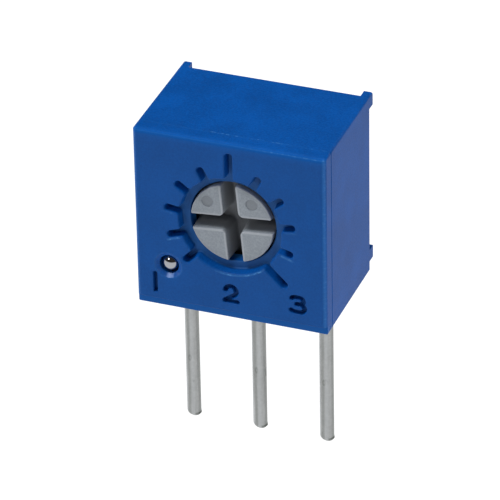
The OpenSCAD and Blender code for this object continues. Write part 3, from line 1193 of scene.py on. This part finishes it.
class Wardrobe:
    """Makes each finish's material once, and hands it out."""

    def __init__(self) -> None:
        """Starts with no material made."""
        self.made: dict[str, bpy.types.Material] = {}

    def material(self, slot: str) -> bpy.types.Material:
        """Material of a slot.

        Args:
            slot: Name of the record's material slot.

        Returns:
            Its material.
        """
        if slot not in self.made:
            self.made[slot] = FINISHES[slot].material()
        return self.made[slot]

    def dress_node(self, node: str, slot: str) -> None:
        """Gives a carried-over node the material of its slot.

        Args:
            node: Name of the node.
            slot: Name of its material slot.
        """
        slots = frame["nodes"][node].data.materials
        slots.clear()
        slots.append(self.material(slot))
        log.info("%s: kept, finish %s", node, slot)

    def put(self, mesh: bpy.types.Mesh, name: str, body: str, slot: str, *replaced: str,
            sharp: float = 35.0) -> bpy.types.Object:
        """Makes a finished piece out of a mesh in millimetres.

        Args:
            mesh: The mesh, which is scaled to metres here.
            name: Name of the piece.
            body: Body that it rides on.
            slot: Material slot of its finish.
            replaced: Nodes that it stands for.
            sharp: Angle in degrees above which an edge stays sharp.

        Returns:
            The new object.
        """
        mesh.transform(Matrix.Scale(MM, 4))
        mesh.name = name
        mesh.materials.clear()
        mesh.materials.append(self.material(slot))
        mesh.polygons.foreach_set("use_smooth", np.ones(len(mesh.polygons), bool))
        mesh.set_sharp_from_angle(angle=math.radians(sharp))
        piece = bpy.data.objects.new(name, mesh)
        bpy.context.scene.collection.objects.link(piece)
        even = piece.modifiers.new("even_normals", "WEIGHTED_NORMAL")
        even.keep_sharp = True
        even.weight = 100
        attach(piece, body)
        if replaced:
            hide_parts(*replaced)
        log.info("%s: %d faces, rides on %s, finish %s", name, len(mesh.polygons), body, slot)
        return piece


@dataclass
class Dial:
    """The sunk ring round the rotor and its marks."""

    centre: Point = FACE.dial
    ring: float = 1.87
    sink: float = FACE.ring_sink
    marks: int = FACE.marks
    span: float = FACE.span
    half_mark: float = 0.135
    end_radius: float = 0.12
    short: float = 2.41
    long: float = 2.89
    blend: float = 0.1
    edge: float = 0.075
    corner: float = 0.05
    draft: float = 0.02

    def mark(self, reach: float) -> Array:
        """Outline of one upright mark, from the ring on its right to the ring on its left.

        Where a side leaves the ring, an arc touches both: its centre lies at the blend radius outside the
        side and outside the ring.

        Args:
            reach: Distance of the mark's end from the dial's centre.

        Returns:
            The points, counter-clockwise.
        """
        beside = self.half_mark + self.blend
        height = math.sqrt((self.ring + self.blend) ** 2 - beside ** 2)
        towards = math.degrees(math.atan2(height, beside))
        foot = arc((beside, height), self.blend, 180 + towards, 180, 6)
        end = arc((self.half_mark - self.end_radius, reach - self.end_radius), self.end_radius, 0, 90, 6)
        right = np.vstack([foot, end])
        return np.vstack([right, right[::-1] * (-1, 1)])

    def outline(self) -> Array:
        """Outline of the ring and its marks about the dial's centre.

        Marks stand at even angles between both ends of the span, the ring's arcs run between them, and
        the last mark and the one at the top are long.

        Returns:
            The closed outline, counter-clockwise.
        """
        angles = np.linspace(self.span, -self.span, self.marks)
        half = math.degrees(math.asin((self.half_mark + self.blend) / (self.ring + self.blend)))
        pieces = []
        for number, angle in enumerate(angles):
            reach = self.long if number in (0, self.marks // 2) else self.short
            pieces.append(turned_clockwise(self.mark(reach), angle))
            gap = angle - (angles[number + 1] if number + 1 < self.marks else angles[0] - 360)
            steps = max(4, round(gap / 2.5))
            pieces.append(arc((0, 0), self.ring, 90 - angle + half, 90 - angle + gap - half, steps)[1:-1])
        return np.vstack(pieces)

    def tool(self) -> Form:
        """Form that sinks the ring and its marks into the face."""
        return carried(self.outline() + np.array(self.centre),
                       recess(self.sink, self.edge, self.corner, self.draft))


@dataclass
class Numeral:
    """The recessed terminal numerals, drawn with strokes of even width.

    The place of each is its middle across, its foot and its top.
    """

    first: Place = (-2.8, 0.59, 1.435)
    second: Place = (0.0, 0.68, 1.46)
    third: Place = (2.46, 0.735, 1.5)
    half_stroke: float = 0.087
    half_bar: float = 0.075
    bar_round: float = 0.06
    bowl: float = 0.2
    sink: float = FACE.numeral_sink
    edge: float = 0.04
    corner: float = 0.035
    draft: float = 0.01

    def stroke(self, path: Array) -> Form:
        """Recess of one stroke: its path, offset to both sides, with round ends.

        Args:
            path: Points of the stroke's centre line.

        Returns:
            The form that cuts the stroke.
        """
        side = np.diff(path, axis=0)
        side /= np.linalg.norm(side, axis=1)[:, None]
        along = np.vstack([side[:1], side[1:] + side[:-1], side[-1:]])
        along /= np.linalg.norm(along, axis=1)[:, None]
        across = np.column_stack([along[:, 1], -along[:, 0]]) * self.half_stroke
        ends = []
        for tip, direction in ((path[-1], along[-1]), (path[0], -along[0])):
            start = math.degrees(math.atan2(direction[1], direction[0]))
            ends.append(arc(tuple(tip), self.half_stroke, start - 90, start + 90, 8)[1:-1])
        outline = np.vstack([path + across, ends[0], (path - across)[::-1], ends[1]])
        return carried(outline, recess(self.sink, self.edge, self.corner, self.draft))

    def one(self, x: float, low: float, high: float) -> list[Form]:
        """Plain upright bar, for the first terminal."""
        bar = box_outline(x - self.half_bar, x + self.half_bar, low, high, self.bar_round)
        return [carried(bar, recess(self.sink, self.edge, self.corner, self.draft))]

    def two(self, x: float, low: float, high: float) -> list[Form]:
        """Numeral of the middle terminal: a bowl that runs into a slope, and a foot."""
        r, s = self.bowl, self.half_stroke
        bowl = arc((x, high - s - r), r, 170, -48, 20)
        slope = np.linspace(bowl[-1], (x - r - 0.02, low + s + 0.02), 8)[1:]
        foot = np.linspace((x - r - 0.02, low + s), (x + r + 0.03, low + s), 6)
        return [self.stroke(np.vstack([bowl, slope])), self.stroke(foot)]

    def three(self, x: float, low: float, high: float) -> list[Form]:
        """Numeral of the last terminal: two bowls that meet at the waist."""
        s = self.half_stroke
        waist = low + 0.53 * (high - low)
        upper = 0.5 * (high - s - waist)
        lower = 0.5 * (waist - low - s)
        inner = (x - 0.04, waist)
        top = np.vstack([arc((x - 0.08, high - s - 0.2), 0.2, 135, 90, 6),
                         arc((x + 0.07, waist + upper), upper, 90, -90, 14), [inner]])
        foot = np.vstack([[inner], arc((x + 0.09, waist - lower), lower, 90, -90, 14),
                          arc((x - 0.08, low + s + 0.25), 0.25, 270, 230, 6)])
        return [self.stroke(top), self.stroke(foot)]

    def tools(self) -> list[Form]:
        """Forms that sink all three numerals into the face."""
        return self.one(*self.first) + self.two(*self.second) + self.three(*self.third)


@dataclass
class Vent:
    """The vent hole that the steel ball closes."""

    centre: Point = FACE.vent
    bore: float = FACE.vent_bore
    hole: float = 0.22
    seat: float = 0.65
    chamfer: float = FACE.vent_chamfer
    chamfer_depth: float = FACE.vent_chamfer_depth
    soft: float = 0.02
    soft_depth: float = 0.007
    through: float = 1.5

    def tool(self) -> Form:
        """Form that cuts the hole with its chamfer, whose outer edge is softened by a parabola."""
        wide = self.bore + self.chamfer
        soft = [(wide + self.soft * (1 - t), self.soft_depth * t * t - SKIM) for t in np.linspace(0, 1, 4)]
        profile = ([(0, -ABOVE), (wide + self.soft + FLARE, -ABOVE)] + soft
                   + [(self.bore, self.chamfer_depth), (self.bore, self.seat), (self.hole, self.seat),
                      (self.hole, self.through), (0, self.through)])
        return turned(profile, self.centre, 96)


@dataclass
class Housing:
    """The blue moulded body."""

    wardrobe: Wardrobe
    dial: Dial = field(default_factory=Dial)
    numeral: Numeral = field(default_factory=Numeral)
    vent: Vent = field(default_factory=Vent)
    depth: float = 4.6
    wall: float = 0.52
    front_wall: float = 1.25
    edge: float = 0.13
    side_edge: float = 0.18
    long_edge: float = 0.08
    rear_edge: float = 0.04
    rim: float = FACE.rim
    rim_setback: float = 0.17
    rim_front: float = 0.5
    rim_side: float = 0.55
    rim_edge: float = 0.04
    rim_corner: float = 0.05
    rim_round: float = 0.06
    step_edge: float = 0.05
    step_corner: float = 0.03
    tab_width: float = 0.32
    tab_height: float = 0.47
    tab_low: float = 0.4
    tab_round: float = 0.06
    parting: float = FACE.parting
    groove_half: float = 0.035
    groove_depth: float = 0.035
    groove_top: float = 0.2
    floor: float = 0.87
    bore: float = 1.575
    bore_edge: float = 0.03
    seal_seat: float = 0.85
    seal_bore: float = 1.98
    chamber: float = 2.6
    chamber_corner: float = 0.6
    shelf: float = 1.92
    notch_half: float = 0.37
    notch_from: float = 2.44
    notch_round: float = 0.03
    relief_side: float = 0.04
    relief_top: float = 1.72
    relief_depth: float = 0.06
    stop_half: float = 30.5
    stop_to: float = 2.43
    stop_rear: float = 1.5

    def __post_init__(self) -> None:
        """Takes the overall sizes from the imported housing."""
        low, high = node_box("housing")
        self.half = float(high[0])
        self.top = float(high[2])
        self.rear = float(high[1] - low[1])
        self.pocket = self.half - self.wall

    def shell(self) -> Form:
        """Outside of the moulding: a rounded rectangle carried from the front to the rear.

        At a depth within a front edge's radius the outline is smaller by the radius less the root of its
        square less the square of what is left to the radius, and its corners shrink with it. A shallow V
        goes in at the parting line, deeper on the sides than on top.

        Returns:
            The closed form.
        """
        depths = self.side_edge * (1 - np.cos(np.radians(np.linspace(0, 90, 11))))
        inset, drop = (r - np.sqrt(r ** 2 - np.maximum(0, r - depths) ** 2)
                       for r in (self.side_edge, self.edge))
        front = list(zip(inset, drop, depths))
        line = [(0.0, 0.0, self.parting - self.groove_half),
                (self.groove_depth, self.groove_depth * self.groove_top, self.parting),
                (0.0, 0.0, self.parting + self.groove_half)]
        back = [(inset, inset, self.rear - depth) for inset, depth in reversed(lip(self.rear_edge))]
        rings = []
        for inset, drop, depth in front + line + back:
            corner = max(0.012, self.long_edge - 0.5 * inset)
            outline = box_outline(inset - self.half, self.half - inset, drop, self.top - drop, corner, 7)
            level = np.full(len(outline), depth)
            rings.append(np.stack(Sides.face(outline[:, 0], outline[:, 1], level), -1))
        return stacked(np.array(rings))

    def tab_gaps(self) -> Form:
        """Form that leaves four tabs of the rear edge standing."""
        x, reach = self.half - self.tab_width, self.half + ABOVE
        low, high = self.tab_low, self.tab_low + self.tab_height
        upper, over, r = self.top - self.tab_height, self.top + ABOVE, self.tab_round
        right = [(reach, -ABOVE, 0), (reach, low, 0), (x, low, r), (x, high, r), (reach, high, 0),
                 (reach, upper, 0), (x, upper, r), (x, over, 0)]
        left = [(-across, up, round_by) for across, up, round_by in reversed(right)]
        corners = left[-1:] + right + left[:-1]
        profile = [(0.0, self.depth), (0.0, self.rear - self.rear_edge)]
        profile += [(o, self.rear - d) for o, d in reversed(lip(self.rear_edge)[:-1])]
        return carried(rounded(corners), profile + [(self.rear_edge + FLARE, self.rear + ABOVE)])

    def foot_step(self) -> Form:
        """Form that sets the foot of the face back, with a soft edge above and below it."""
        edge, corner, reach = self.step_edge, self.step_corner, self.half + ABOVE
        back = self.rim_setback
        outline = np.vstack([
            [(-ABOVE, -ABOVE), (back + 0.3, -ABOVE)],
            arc((back + edge, edge), edge, 270, 180, 5),
            arc((back - corner, self.rim - corner), corner, 0, 90, 4),
            arc((edge, self.rim + edge), edge, 270, 180, 5) - (SKIM, 0),
            [(-ABOVE, self.rim + edge + 0.2)],
        ])
        return carried(outline, [(0.0, -reach), (0.0, reach)], Sides.section)

    def underside(self) -> Form:
        """Form that opens the underside within the rim."""
        x = self.half - self.rim_side
        outline = box_outline(-x, x, self.rim_setback + self.rim_front, self.rear + ABOVE, self.rim_round)
        return carried(outline, recess(self.rim, self.rim_edge, self.rim_corner), Sides.underside)

    def rotor_bore(self) -> Form:
        """Form of the rotor's bore with the seal ring's pocket behind it."""
        start = 0.5 * self.dial.sink
        profile = [(0, start), (self.bore + start, start)]
        profile += lip(self.bore_edge, self.bore, self.dial.sink - SKIM)
        profile += [(self.bore, self.seal_seat), (self.seal_bore, self.seal_seat)]
        profile += [(self.seal_bore, self.front_wall + 0.1), (0, self.front_wall + 0.1)]
        return turned(profile, self.dial.centre, 192)

    def rear_spaces(self) -> list[Form]:
        """Forms of the chamber, the pocket, the floor's notches and the reliefs for the pads.

        Returns:
            The forms, each a little deeper than where the next one starts.
        """
        x, z = self.dial.centre
        c = self.chamber
        room = carried(box_outline(x - c, x + c, z - c, z + c, self.chamber_corner, 12),
                       [(0.0, self.front_wall), (0.0, self.shelf + 0.2)])
        opening = [(0.0, self.shelf), (0.0, self.depth - self.rear_edge)]
        opening += [(o, self.depth + SKIM - d) for o, d in reversed(lip(self.rear_edge)[:-1])]
        opening += [(self.rear_edge + FLARE, self.depth + ABOVE)]
        p = self.pocket
        pocket = carried(box_outline(-p, p, self.floor, self.top - self.wall, 0.05), opening)
        spaces = [room, pocket]
        for place in (-1, 0, 1):
            x, n, r = place * FACE.pitch, self.notch_half, self.notch_round
            spaces.append(carried(box_outline(x - n, x + n, -ABOVE, self.floor + r, r),
                                  [(0.0, self.notch_from), (0.0, self.rear + ABOVE)]))
            n += self.relief_side
            spaces.append(carried(box_outline(x - n, x + n, self.floor, self.relief_top, r),
                                  [(0.0, self.shelf - self.relief_depth), (0.0, self.shelf + 0.1)]))
        return spaces

    def stop(self) -> Form:
        """Form of the stop for the rotor's lug, at the foot of the dial inside."""
        inner, outer, half = self.seal_bore + 0.005, self.stop_to, self.stop_half
        outline = np.vstack([arc((0, 0), outer, 270 - half, 270 + half, 24),
                             arc((0, 0), inner, 270 + half, 270 - half, 24)])
        return carried(outline + np.array(self.dial.centre),
                       [(0.0, self.front_wall - 0.1), (0.0, self.stop_rear)])

    def build(self) -> bpy.types.Object:
        """Cuts the shell into the finished housing.

        Returns:
            The piece.
        """
        cuts = [self.tab_gaps(), self.foot_step(), self.underside(), self.dial.tool(), self.rotor_bore(),
                *self.rear_spaces(), self.vent.tool(), *self.numeral.tools()]
        steps = [(Join.CUT, form) for form in cuts] + [(Join.ADD, self.stop())]
        mesh = combined(self.shell(), "housing_shell", steps)
        return self.wardrobe.put(mesh, "housing_shell", BODY, "housing_plastic", "housing")


@dataclass
class RotorHead:
    """The grey rotor with its cross slot, flange and stop lug."""

    wardrobe: Wardrobe
    centre: Point = FACE.dial
    radius: float = HEAD.radius
    sink: float = HEAD.sink
    rest: float = HEAD.rest
    edge: float = 0.05
    slot_half: float = HEAD.slot_half
    slot_depth: float = HEAD.slot_depth
    slot_draft: float = 0.06
    slot_corner: float = 0.19
    lip: float = HEAD.slot_lip
    floor_corner: float = 0.08
    exit_round: float = 0.05
    flange: float = 1.91
    flange_front: float = 1.23
    flange_rear: float = 1.57
    flange_edge: float = 0.03
    ejector: float = HEAD.ejector
    ejector_sink: float = 0.03
    lug_half: float = 13.0
    lug_radius: float = 2.33
    lug_front: float = 1.285
    boss_half: float = 0.3
    boss_rear: float = 1.7

    def head(self) -> Form:
        """Turned form of the head and its flange."""
        rim = [(self.radius - self.edge + self.edge * math.sin(a), self.sink + self.edge * (1 - math.cos(a)))
               for a in np.radians(np.linspace(0, 90, 8))]
        inner = self.flange - self.flange_edge
        profile = [(0, self.sink)] + rim + [
            (self.radius, self.flange_front), (inner, self.flange_front),
            (self.flange, self.flange_front + self.flange_edge),
            (self.flange, self.flange_rear - self.flange_edge),
            (inner, self.flange_rear), (0, self.flange_rear)]
        return turned(profile, self.centre, 240)

    def slot(self) -> Form:
        """Form of the cross slot.

        One arm runs from its inner corner's arc out along the slot's side to an arc that rounds the edge
        where the side leaves the head, and the other arms are the same outline at quarter turns.

        Returns:
            The form, drafted towards its floor.
        """
        h, c, f = self.slot_half, self.slot_corner, self.exit_round
        inner = arc((h + c, h + c), c, 270, 180, 8)
        height = math.sqrt((self.radius - f) ** 2 - (h + f) ** 2)
        leave = arc((h + f, height), f, 180, 180 - math.degrees(math.atan2(height, h + f)) + 25, 5)
        beyond = np.array([(leave[-1][0] + 0.02, leave[-1][1] + 0.06), (h + 0.25, self.radius + 0.25)])
        right = np.vstack([inner, leave, beyond])
        arm = np.vstack([right, right[::-1] * (-1, 1)])
        cross = np.vstack([turned_clockwise(arm[4:-4], -90 * k) for k in range(4)])
        cross = turned_clockwise(cross, self.rest)
        return carried(cross + np.array(self.centre),
                       recess(self.slot_depth, self.lip, self.floor_corner, self.slot_draft, self.sink))

    def extras(self) -> list[tuple[Join, Form]]:
        """The two ejector marks, the stop lug and the square boss."""
        deep = self.sink + self.ejector_sink
        profile = [(0, 0.0), (self.ejector + 0.05, 0.0)]
        profile += lip(0.02, self.ejector, self.sink - SKIM, 4) + [(self.ejector - 0.01, deep), (0, deep)]
        steps = [(Join.CUT, turned(profile, at, 48)) for at in HEAD.ejectors()]
        inner, outer = self.flange / 2, self.lug_radius
        outline = np.vstack([arc((0, 0), outer, 90 - self.lug_half, 90 + self.lug_half, 16),
                             arc((0, 0), inner, 90 + self.lug_half, 90 - self.lug_half, 16)])
        lug = carried(turned_clockwise(outline, self.rest) + np.array(self.centre),
                      [(0.0, self.lug_front), (0.0, self.flange_rear - 0.001)])
        b = self.boss_half
        outline = turned_clockwise(box_outline(-b, b, -b, b, 0.04), self.rest) + np.array(self.centre)
        boss = carried(outline, [(0.0, self.flange_rear - 0.1), (0.0, self.boss_rear - 0.03),
                                 (-0.03, self.boss_rear)])
        return steps + [(Join.ADD, lug), (Join.ADD, boss)]

    def build(self) -> bpy.types.Object:
        """Makes the rotor.

        Returns:
            The piece.
        """
        mesh = combined(self.head(), "rotor_head", [(Join.CUT, self.slot()), *self.extras()])
        return self.wardrobe.put(mesh, "rotor_head", ROTOR, "rotor_plastic", "rotor")


@dataclass
class SealRing:
    """The rubber ring behind the rotor's head."""

    wardrobe: Wardrobe
    centre: Point = FACE.dial
    radius: float = 1.79
    depth: float = 1.04
    half: float = 0.17

    def build(self) -> bpy.types.Object:
        """Turns the ring's round section about the dial's axis.

        Returns:
            The piece.
        """
        section = arc((self.radius, self.depth), self.half, 0, 345, 24)
        form = turned([tuple(p) for p in section], self.centre, 160, closed=True)
        return self.wardrobe.put(form.mesh("seal_ring"), "seal_ring", BODY, "seal_rubber",
                                 "rotor_seal_ring")


@dataclass
class Pins:
    """The three tinned wires, flattened inside the body."""

    wardrobe: Wardrobe
    radius: float = 0.255
    blade_half_width: float = 0.31
    blade_half_depth: float = 0.18
    round_to: float = 0.04
    blade_from: float = 0.2
    end_round: float = 0.22
    end_flat: float = 0.06
    burr: float = 0.045
    burr_at: float = -15.0
    burr_height: float = 0.13
    burr_width: float = 0.045
    top_edge: float = 0.04
    lean: float = 0.08
    around: int = 48

    def pin(self, number: int) -> bpy.types.Object:
        """Makes one pin.

        Each level is a superellipse: the half width times the cosine, and the half depth times the sine,
        each to the power of two over the exponent, which grows from a circle's 2 to a blade's 10 on the
        way up. The cut end is rounded by a quarter ellipse, and a burr stands out on one side: a bell curve
        of the height times the sixth power of the cosine of the angle from its place.

        Args:
            number: Number of the terminal, 1 to 3.

        Returns:
            The piece.
        """
        low, high = node_box(f"terminal_{number}")
        centre = 0.5 * (low[0] + high[0])
        bottom, top = float(low[2]), float(high[2])
        tip = np.radians(np.linspace(0, 90, 12))
        heights = np.sort(np.concatenate([
            bottom + self.end_round * (1 - np.sin(tip)),
            bottom + self.burr_height + np.linspace(0.05, 0.14, 4),
            np.linspace(bottom + 0.4, self.round_to, 12),
            np.linspace(self.round_to, self.blade_from, 8)[1:], [top - self.top_edge, top],
        ]))
        reach = np.clip((heights - bottom) / self.end_round, 0, 1)
        inset = (self.radius - self.end_flat) * (1 - np.sqrt(1 - (1 - reach) ** 2))
        inset[-1] = self.top_edge
        share = np.clip((heights - self.round_to) / (self.blade_from - self.round_to), 0, 1)
        share = share * share * (3 - 2 * share)
        power = 2 / (2 + 8 * share)
        wide = self.radius + (self.blade_half_width - self.radius) * share - inset
        deep = self.radius + (self.blade_half_depth - self.radius) * share - inset
        angle = np.linspace(0, math.tau, self.around, endpoint=False)
        c, s = np.cos(angle), np.sin(angle)
        lobe = np.maximum(0, np.cos(angle - math.radians(self.burr_at)))[None] ** 6
        bell = np.exp(-((heights - bottom - self.burr_height) / self.burr_width) ** 2)[:, None]
        swell = 1 + self.burr / self.radius * lobe * bell
        x = centre + wide[:, None] * np.sign(c) * np.abs(c) ** power[:, None] * swell
        x = x + self.lean * (1 - reach[:, None]) ** 2
        y = deep[:, None] * np.sign(s) * np.abs(s) ** power[:, None] * swell
        z = np.broadcast_to(heights[:, None], x.shape)
        mesh = stacked(np.stack([x, y, z], -1)).mesh(f"pin_{number}")
        return self.wardrobe.put(mesh, f"pin_{number}", BODY, "tinned_wire", f"terminal_{number}",
                                 sharp=50.0)

    def build(self) -> None:
        """Makes all three pins."""
        for number in (1, 2, 3):
            self.pin(number)


@dataclass
class VentBall:
    """The polished ball pressed into the vent."""

    wardrobe: Wardrobe
    centre: Point = FACE.vent
    centre_depth: float = 0.38

    def build(self) -> bpy.types.Object:
        """Turns a half circle about the vent's axis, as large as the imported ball.

        Returns:
            The piece.
        """
        low, high = node_box("vent_ball")
        radius = 0.5 * float(high[1] - low[1])
        half = arc((0, self.centre_depth), radius, -90, 90, 49)
        half[[0, -1], 0] = 0
        form = turned([tuple(p) for p in half], self.centre, 96)
        return self.wardrobe.put(form.mesh("steel_ball"), "steel_ball", BODY, "polished_steel",
                                 "vent_ball")


@dataclass
class BackSeal:
    """The resin poured behind the element."""

    wardrobe: Wardrobe
    sink: float = 0.09
    climb: float = 0.35
    wave: float = 0.012
    bottom: float = 0.86
    overhang: float = 0.4
    lid: float = 0.6
    steps: int = 72

    def dish(self) -> Form:
        """Form above the resin's free surface.

        The surface sinks by the sink times one less the climb curve, which falls with the distance to the
        nearest wall as an exponential, and it has two slow waves.

        Returns:
            The closed form that cuts the resin's surface.
        """
        low, high = node_box("back_seal")
        u = np.sin(np.linspace(-0.5, 0.5, self.steps) * math.pi)
        x = 0.5 * (low[0] + high[0]) + 0.5 * (high[0] - low[0]) * u
        bottom, top = self.bottom, float(high[2])
        z = 0.5 * (bottom + top) + 0.5 * (top - bottom) * u
        across, up = np.meshgrid(x, z, indexing="ij")
        wall = np.minimum(np.minimum(across - x[0], x[-1] - across), np.minimum(up - z[0], z[-1] - up))
        wave = self.wave * np.sin(1.3 * across + 0.7) * np.cos(1.1 * up)
        depth = high[1] + (wave - self.sink) * (1 - np.exp(-wall / self.climb)) - 2 * SKIM
        surface = np.stack([across, depth, up], -1)
        grown = surface.copy()
        apart = np.array([-self.overhang, self.overhang])
        grown[[0, -1], :, 0] += apart[:, None]
        grown[:, [0, -1], 2] += apart[None]
        lid = grown.copy()
        lid[..., 1] = high[1] + self.lid
        n = self.steps
        cell = np.arange((n - 1) * n).reshape(n - 1, n)[:, :-1].ravel()
        under = np.column_stack([cell, cell + 1, cell + n + 1, cell + n])
        over = under[:, ::-1] + n * n
        rim = np.concatenate([np.arange(n), np.arange(1, n) * n + n - 1,
                              (n - 1) * n + np.arange(n - 2, -1, -1), np.arange(n - 2, 0, -1) * n])
        nxt = np.roll(rim, -1)
        skirt = np.column_stack([rim, nxt, nxt + n * n, rim + n * n])
        faces = [tuple(f) for f in np.vstack([under, over, skirt]).tolist()]
        return Form(np.vstack([grown.reshape(-1, 3), lid.reshape(-1, 3)]), faces)

    def build(self) -> bpy.types.Object:
        """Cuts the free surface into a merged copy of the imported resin.

        Returns:
            The piece.
        """
        mesh = frame["nodes"]["back_seal"].data.copy()
        mesh.transform(Matrix.Scale(1 / MM, 4))
        face_outwards(mesh, 0.0005)
        points = np.empty(len(mesh.vertices) * 3)
        mesh.vertices.foreach_get("co", points)
        base = Form(points.reshape(-1, 3), [tuple(p.vertices) for p in mesh.polygons])
        bpy.data.meshes.remove(mesh)
        return self.wardrobe.put(combined(base, "resin_fill", [(Join.CUT, self.dish())]),
                                 "resin_fill", BODY, "sealing_resin", "back_seal")


@dataclass(frozen=True)
class Viewpoint:
    """The camera, as fitted to the photograph."""

    azimuth: float = 20.885
    elevation: float = 31.59
    roll: float = -1.109
    focal_pixels: float = 4317.0
    image_pixels: float = 500.0
    sensor: float = 36.0
    distance: float = 150.4
    aim: tuple[float, float, float] = (0.0, -0.68, 2.0)
    slide: Point = (-0.010, -0.259)

    def build(self) -> bpy.types.Object:
        """Puts the camera in the scene.

        Returns:
            The camera.
        """
        az, el, roll = (math.radians(a) for a in (self.azimuth, self.elevation, self.roll))
        back = Vector((math.sin(az) * math.cos(el), -math.cos(az) * math.cos(el), math.sin(el)))
        level = Vector((math.cos(az), math.sin(az), 0.0))
        upright = back.cross(level)
        right = math.cos(roll) * level + math.sin(roll) * upright
        up = math.cos(roll) * upright - math.sin(roll) * level
        place = Vector(self.aim) + back * self.distance + right * self.slide[0] + up * self.slide[1]
        lens = bpy.data.cameras.new("camera")
        lens.sensor_width = self.sensor
        lens.lens = self.focal_pixels / self.image_pixels * self.sensor
        lens.clip_start = 0.001
        lens.clip_end = 10.0
        camera = bpy.data.objects.new("camera", lens)
        turn = Matrix((right, up, back)).transposed().to_4x4()
        camera.matrix_world = Matrix.Translation(place * MM) @ turn
        bpy.context.scene.collection.objects.link(camera)
        bpy.context.scene.camera = camera
        return camera


@dataclass(frozen=True)
class SoftBox:
    """A soft light, placed by the direction that it comes from."""

    name: str
    azimuth: float
    elevation: float
    distance: float
    size: float
    radiance: float

    def build(self, aim: Vector) -> None:
        """Puts the light in the scene, facing the aim.

        Args:
            aim: Point that it faces, in metres.
        """
        az, el = math.radians(self.azimuth), math.radians(self.elevation)
        direction = Vector((math.sin(az) * math.cos(el), -math.cos(az) * math.cos(el), math.sin(el)))
        light = bpy.data.lights.new(self.name, "AREA")
        light.shape = "SQUARE"
        light.size = self.size
        light.energy = math.pi * self.radiance * self.size ** 2
        lamp = bpy.data.objects.new(self.name, light)
        lamp.location = aim + direction * self.distance
        lamp.rotation_euler = direction.to_track_quat("Z", "Y").to_euler()
        bpy.context.scene.collection.objects.link(lamp)


@dataclass(frozen=True)
class Studio:
    """Plain pale floor, and soft light from above and from the front."""

    floor_at: float = -9.0
    floor_reach: float = 1500.0
    floor_rings: int = 24
    floor_spokes: int = 64
    floor_colour: Colour = (0.12, 0.12, 0.12)
    floor_glow: float = 1.0
    sky_low: Colour = (1.0, 1.0, 1.0)
    sky_high: Colour = (0.06, 0.052, 0.047)
    pale_to: float = 0.02
    dark_from: float = 0.09
    boxes: tuple[SoftBox, ...] = (
        SoftBox("lamp_left", -55.0, 67.0, 0.45, 0.14, 22.0),
        SoftBox("box_above", 175.0, 68.0, 0.5, 0.4, 1.9),
        SoftBox("box_right", 100.0, 25.0, 0.6, 0.35, 2.6),
        SoftBox("lamp_front", -28.4, 36.0, 0.6, 0.13, 9.0),
    )

    def floor(self) -> None:
        """Lays the floor as a fine disc whose radius grows with the square of the step."""
        radius = self.floor_reach * np.linspace(0, 1, self.floor_rings)[1:] ** 2
        angle = np.linspace(0, math.tau, self.floor_spokes, endpoint=False)
        x, y = (radius[:, None] * f(angle)[None] for f in (np.cos, np.sin))
        points = np.stack([x, y, np.full_like(x, self.floor_at)], -1).reshape(-1, 3)
        faces = ring_faces(len(radius), self.floor_spokes) + [tuple(range(self.floor_spokes))]
        mesh = bpy.data.meshes.new("floor")
        mesh.from_pydata(points * MM, [], faces)
        recipe = Recipe("floor_paper")
        grain = recipe.noise(40.0)
        light = tuple(min(1.0, c * 1.01) for c in self.floor_colour)
        recipe.set({"Base Color": recipe.mix(grain, self.floor_colour, light), "Roughness": 1.0,
                    "Specular IOR Level": 0.0, "Emission Color": (1.0, 1.0, 1.0, 1.0),
                    "Emission Strength": self.floor_glow})
        mesh.materials.append(recipe.material)
        floor = bpy.data.objects.new("floor", mesh)
        bpy.context.scene.collection.objects.link(floor)

    def sky(self) -> None:
        """Lights the room: pale near the floor and darker overhead."""
        world = bpy.data.worlds.new("room")
        bpy.context.scene.world = world
        world.use_nodes = True
        room = Graph(world.node_tree)
        place = room.node("ShaderNodeTexCoord", output="Generated")
        height = room.node("ShaderNodeSeparateXYZ", None, {0: place}, 2)
        stops = ((self.pale_to, self.sky_low), (self.dark_from, self.sky_high))
        colour = room.node("ShaderNodeValToRGB", {"stops": stops}, {0: height})
        light = room.node("ShaderNodeBackground", None, {0: colour})
        room.node("ShaderNodeOutputWorld", None, {0: light})

    def build(self, aim: Vector) -> None:
        """Sets up floor, room and lights.

        Args:
            aim: Point that the lights face, in metres.
        """
        self.floor()
        self.sky()
        for box in self.boxes:
            box.build(aim)
        bpy.context.scene.view_settings.view_transform = "Standard"


INNER_NODES: dict[str, str] = {
    "wiper_spring": "contact_alloy",
    "element_substrate": "ceramic",
    "resistance_track": "resistive_film",
    "collector_track": "conductive_film",
    "end_pad_1": "conductive_film",
    "wiper_pad_2": "conductive_film",
    "end_pad_3": "conductive_film",
    "solder_joint_1": "solder",
    "solder_joint_2": "solder",
    "solder_joint_3": "solder",
}


def main() -> None:
    """Builds the camera, the studio and every piece."""
    logging.basicConfig(level=logging.INFO, format="%(message)s")
    Viewpoint().build()
    Studio().build(Vector((0.0, 0.0, 2.0 * MM)))
    wardrobe = Wardrobe()
    Housing(wardrobe).build()
    RotorHead(wardrobe).build()
    SealRing(wardrobe).build()
    Pins(wardrobe).build()
    VentBall(wardrobe).build()
    BackSeal(wardrobe).build()
    for node, slot in INNER_NODES.items():
        wardrobe.dress_node(node, slot)


if __name__ == "__main__":
    main()
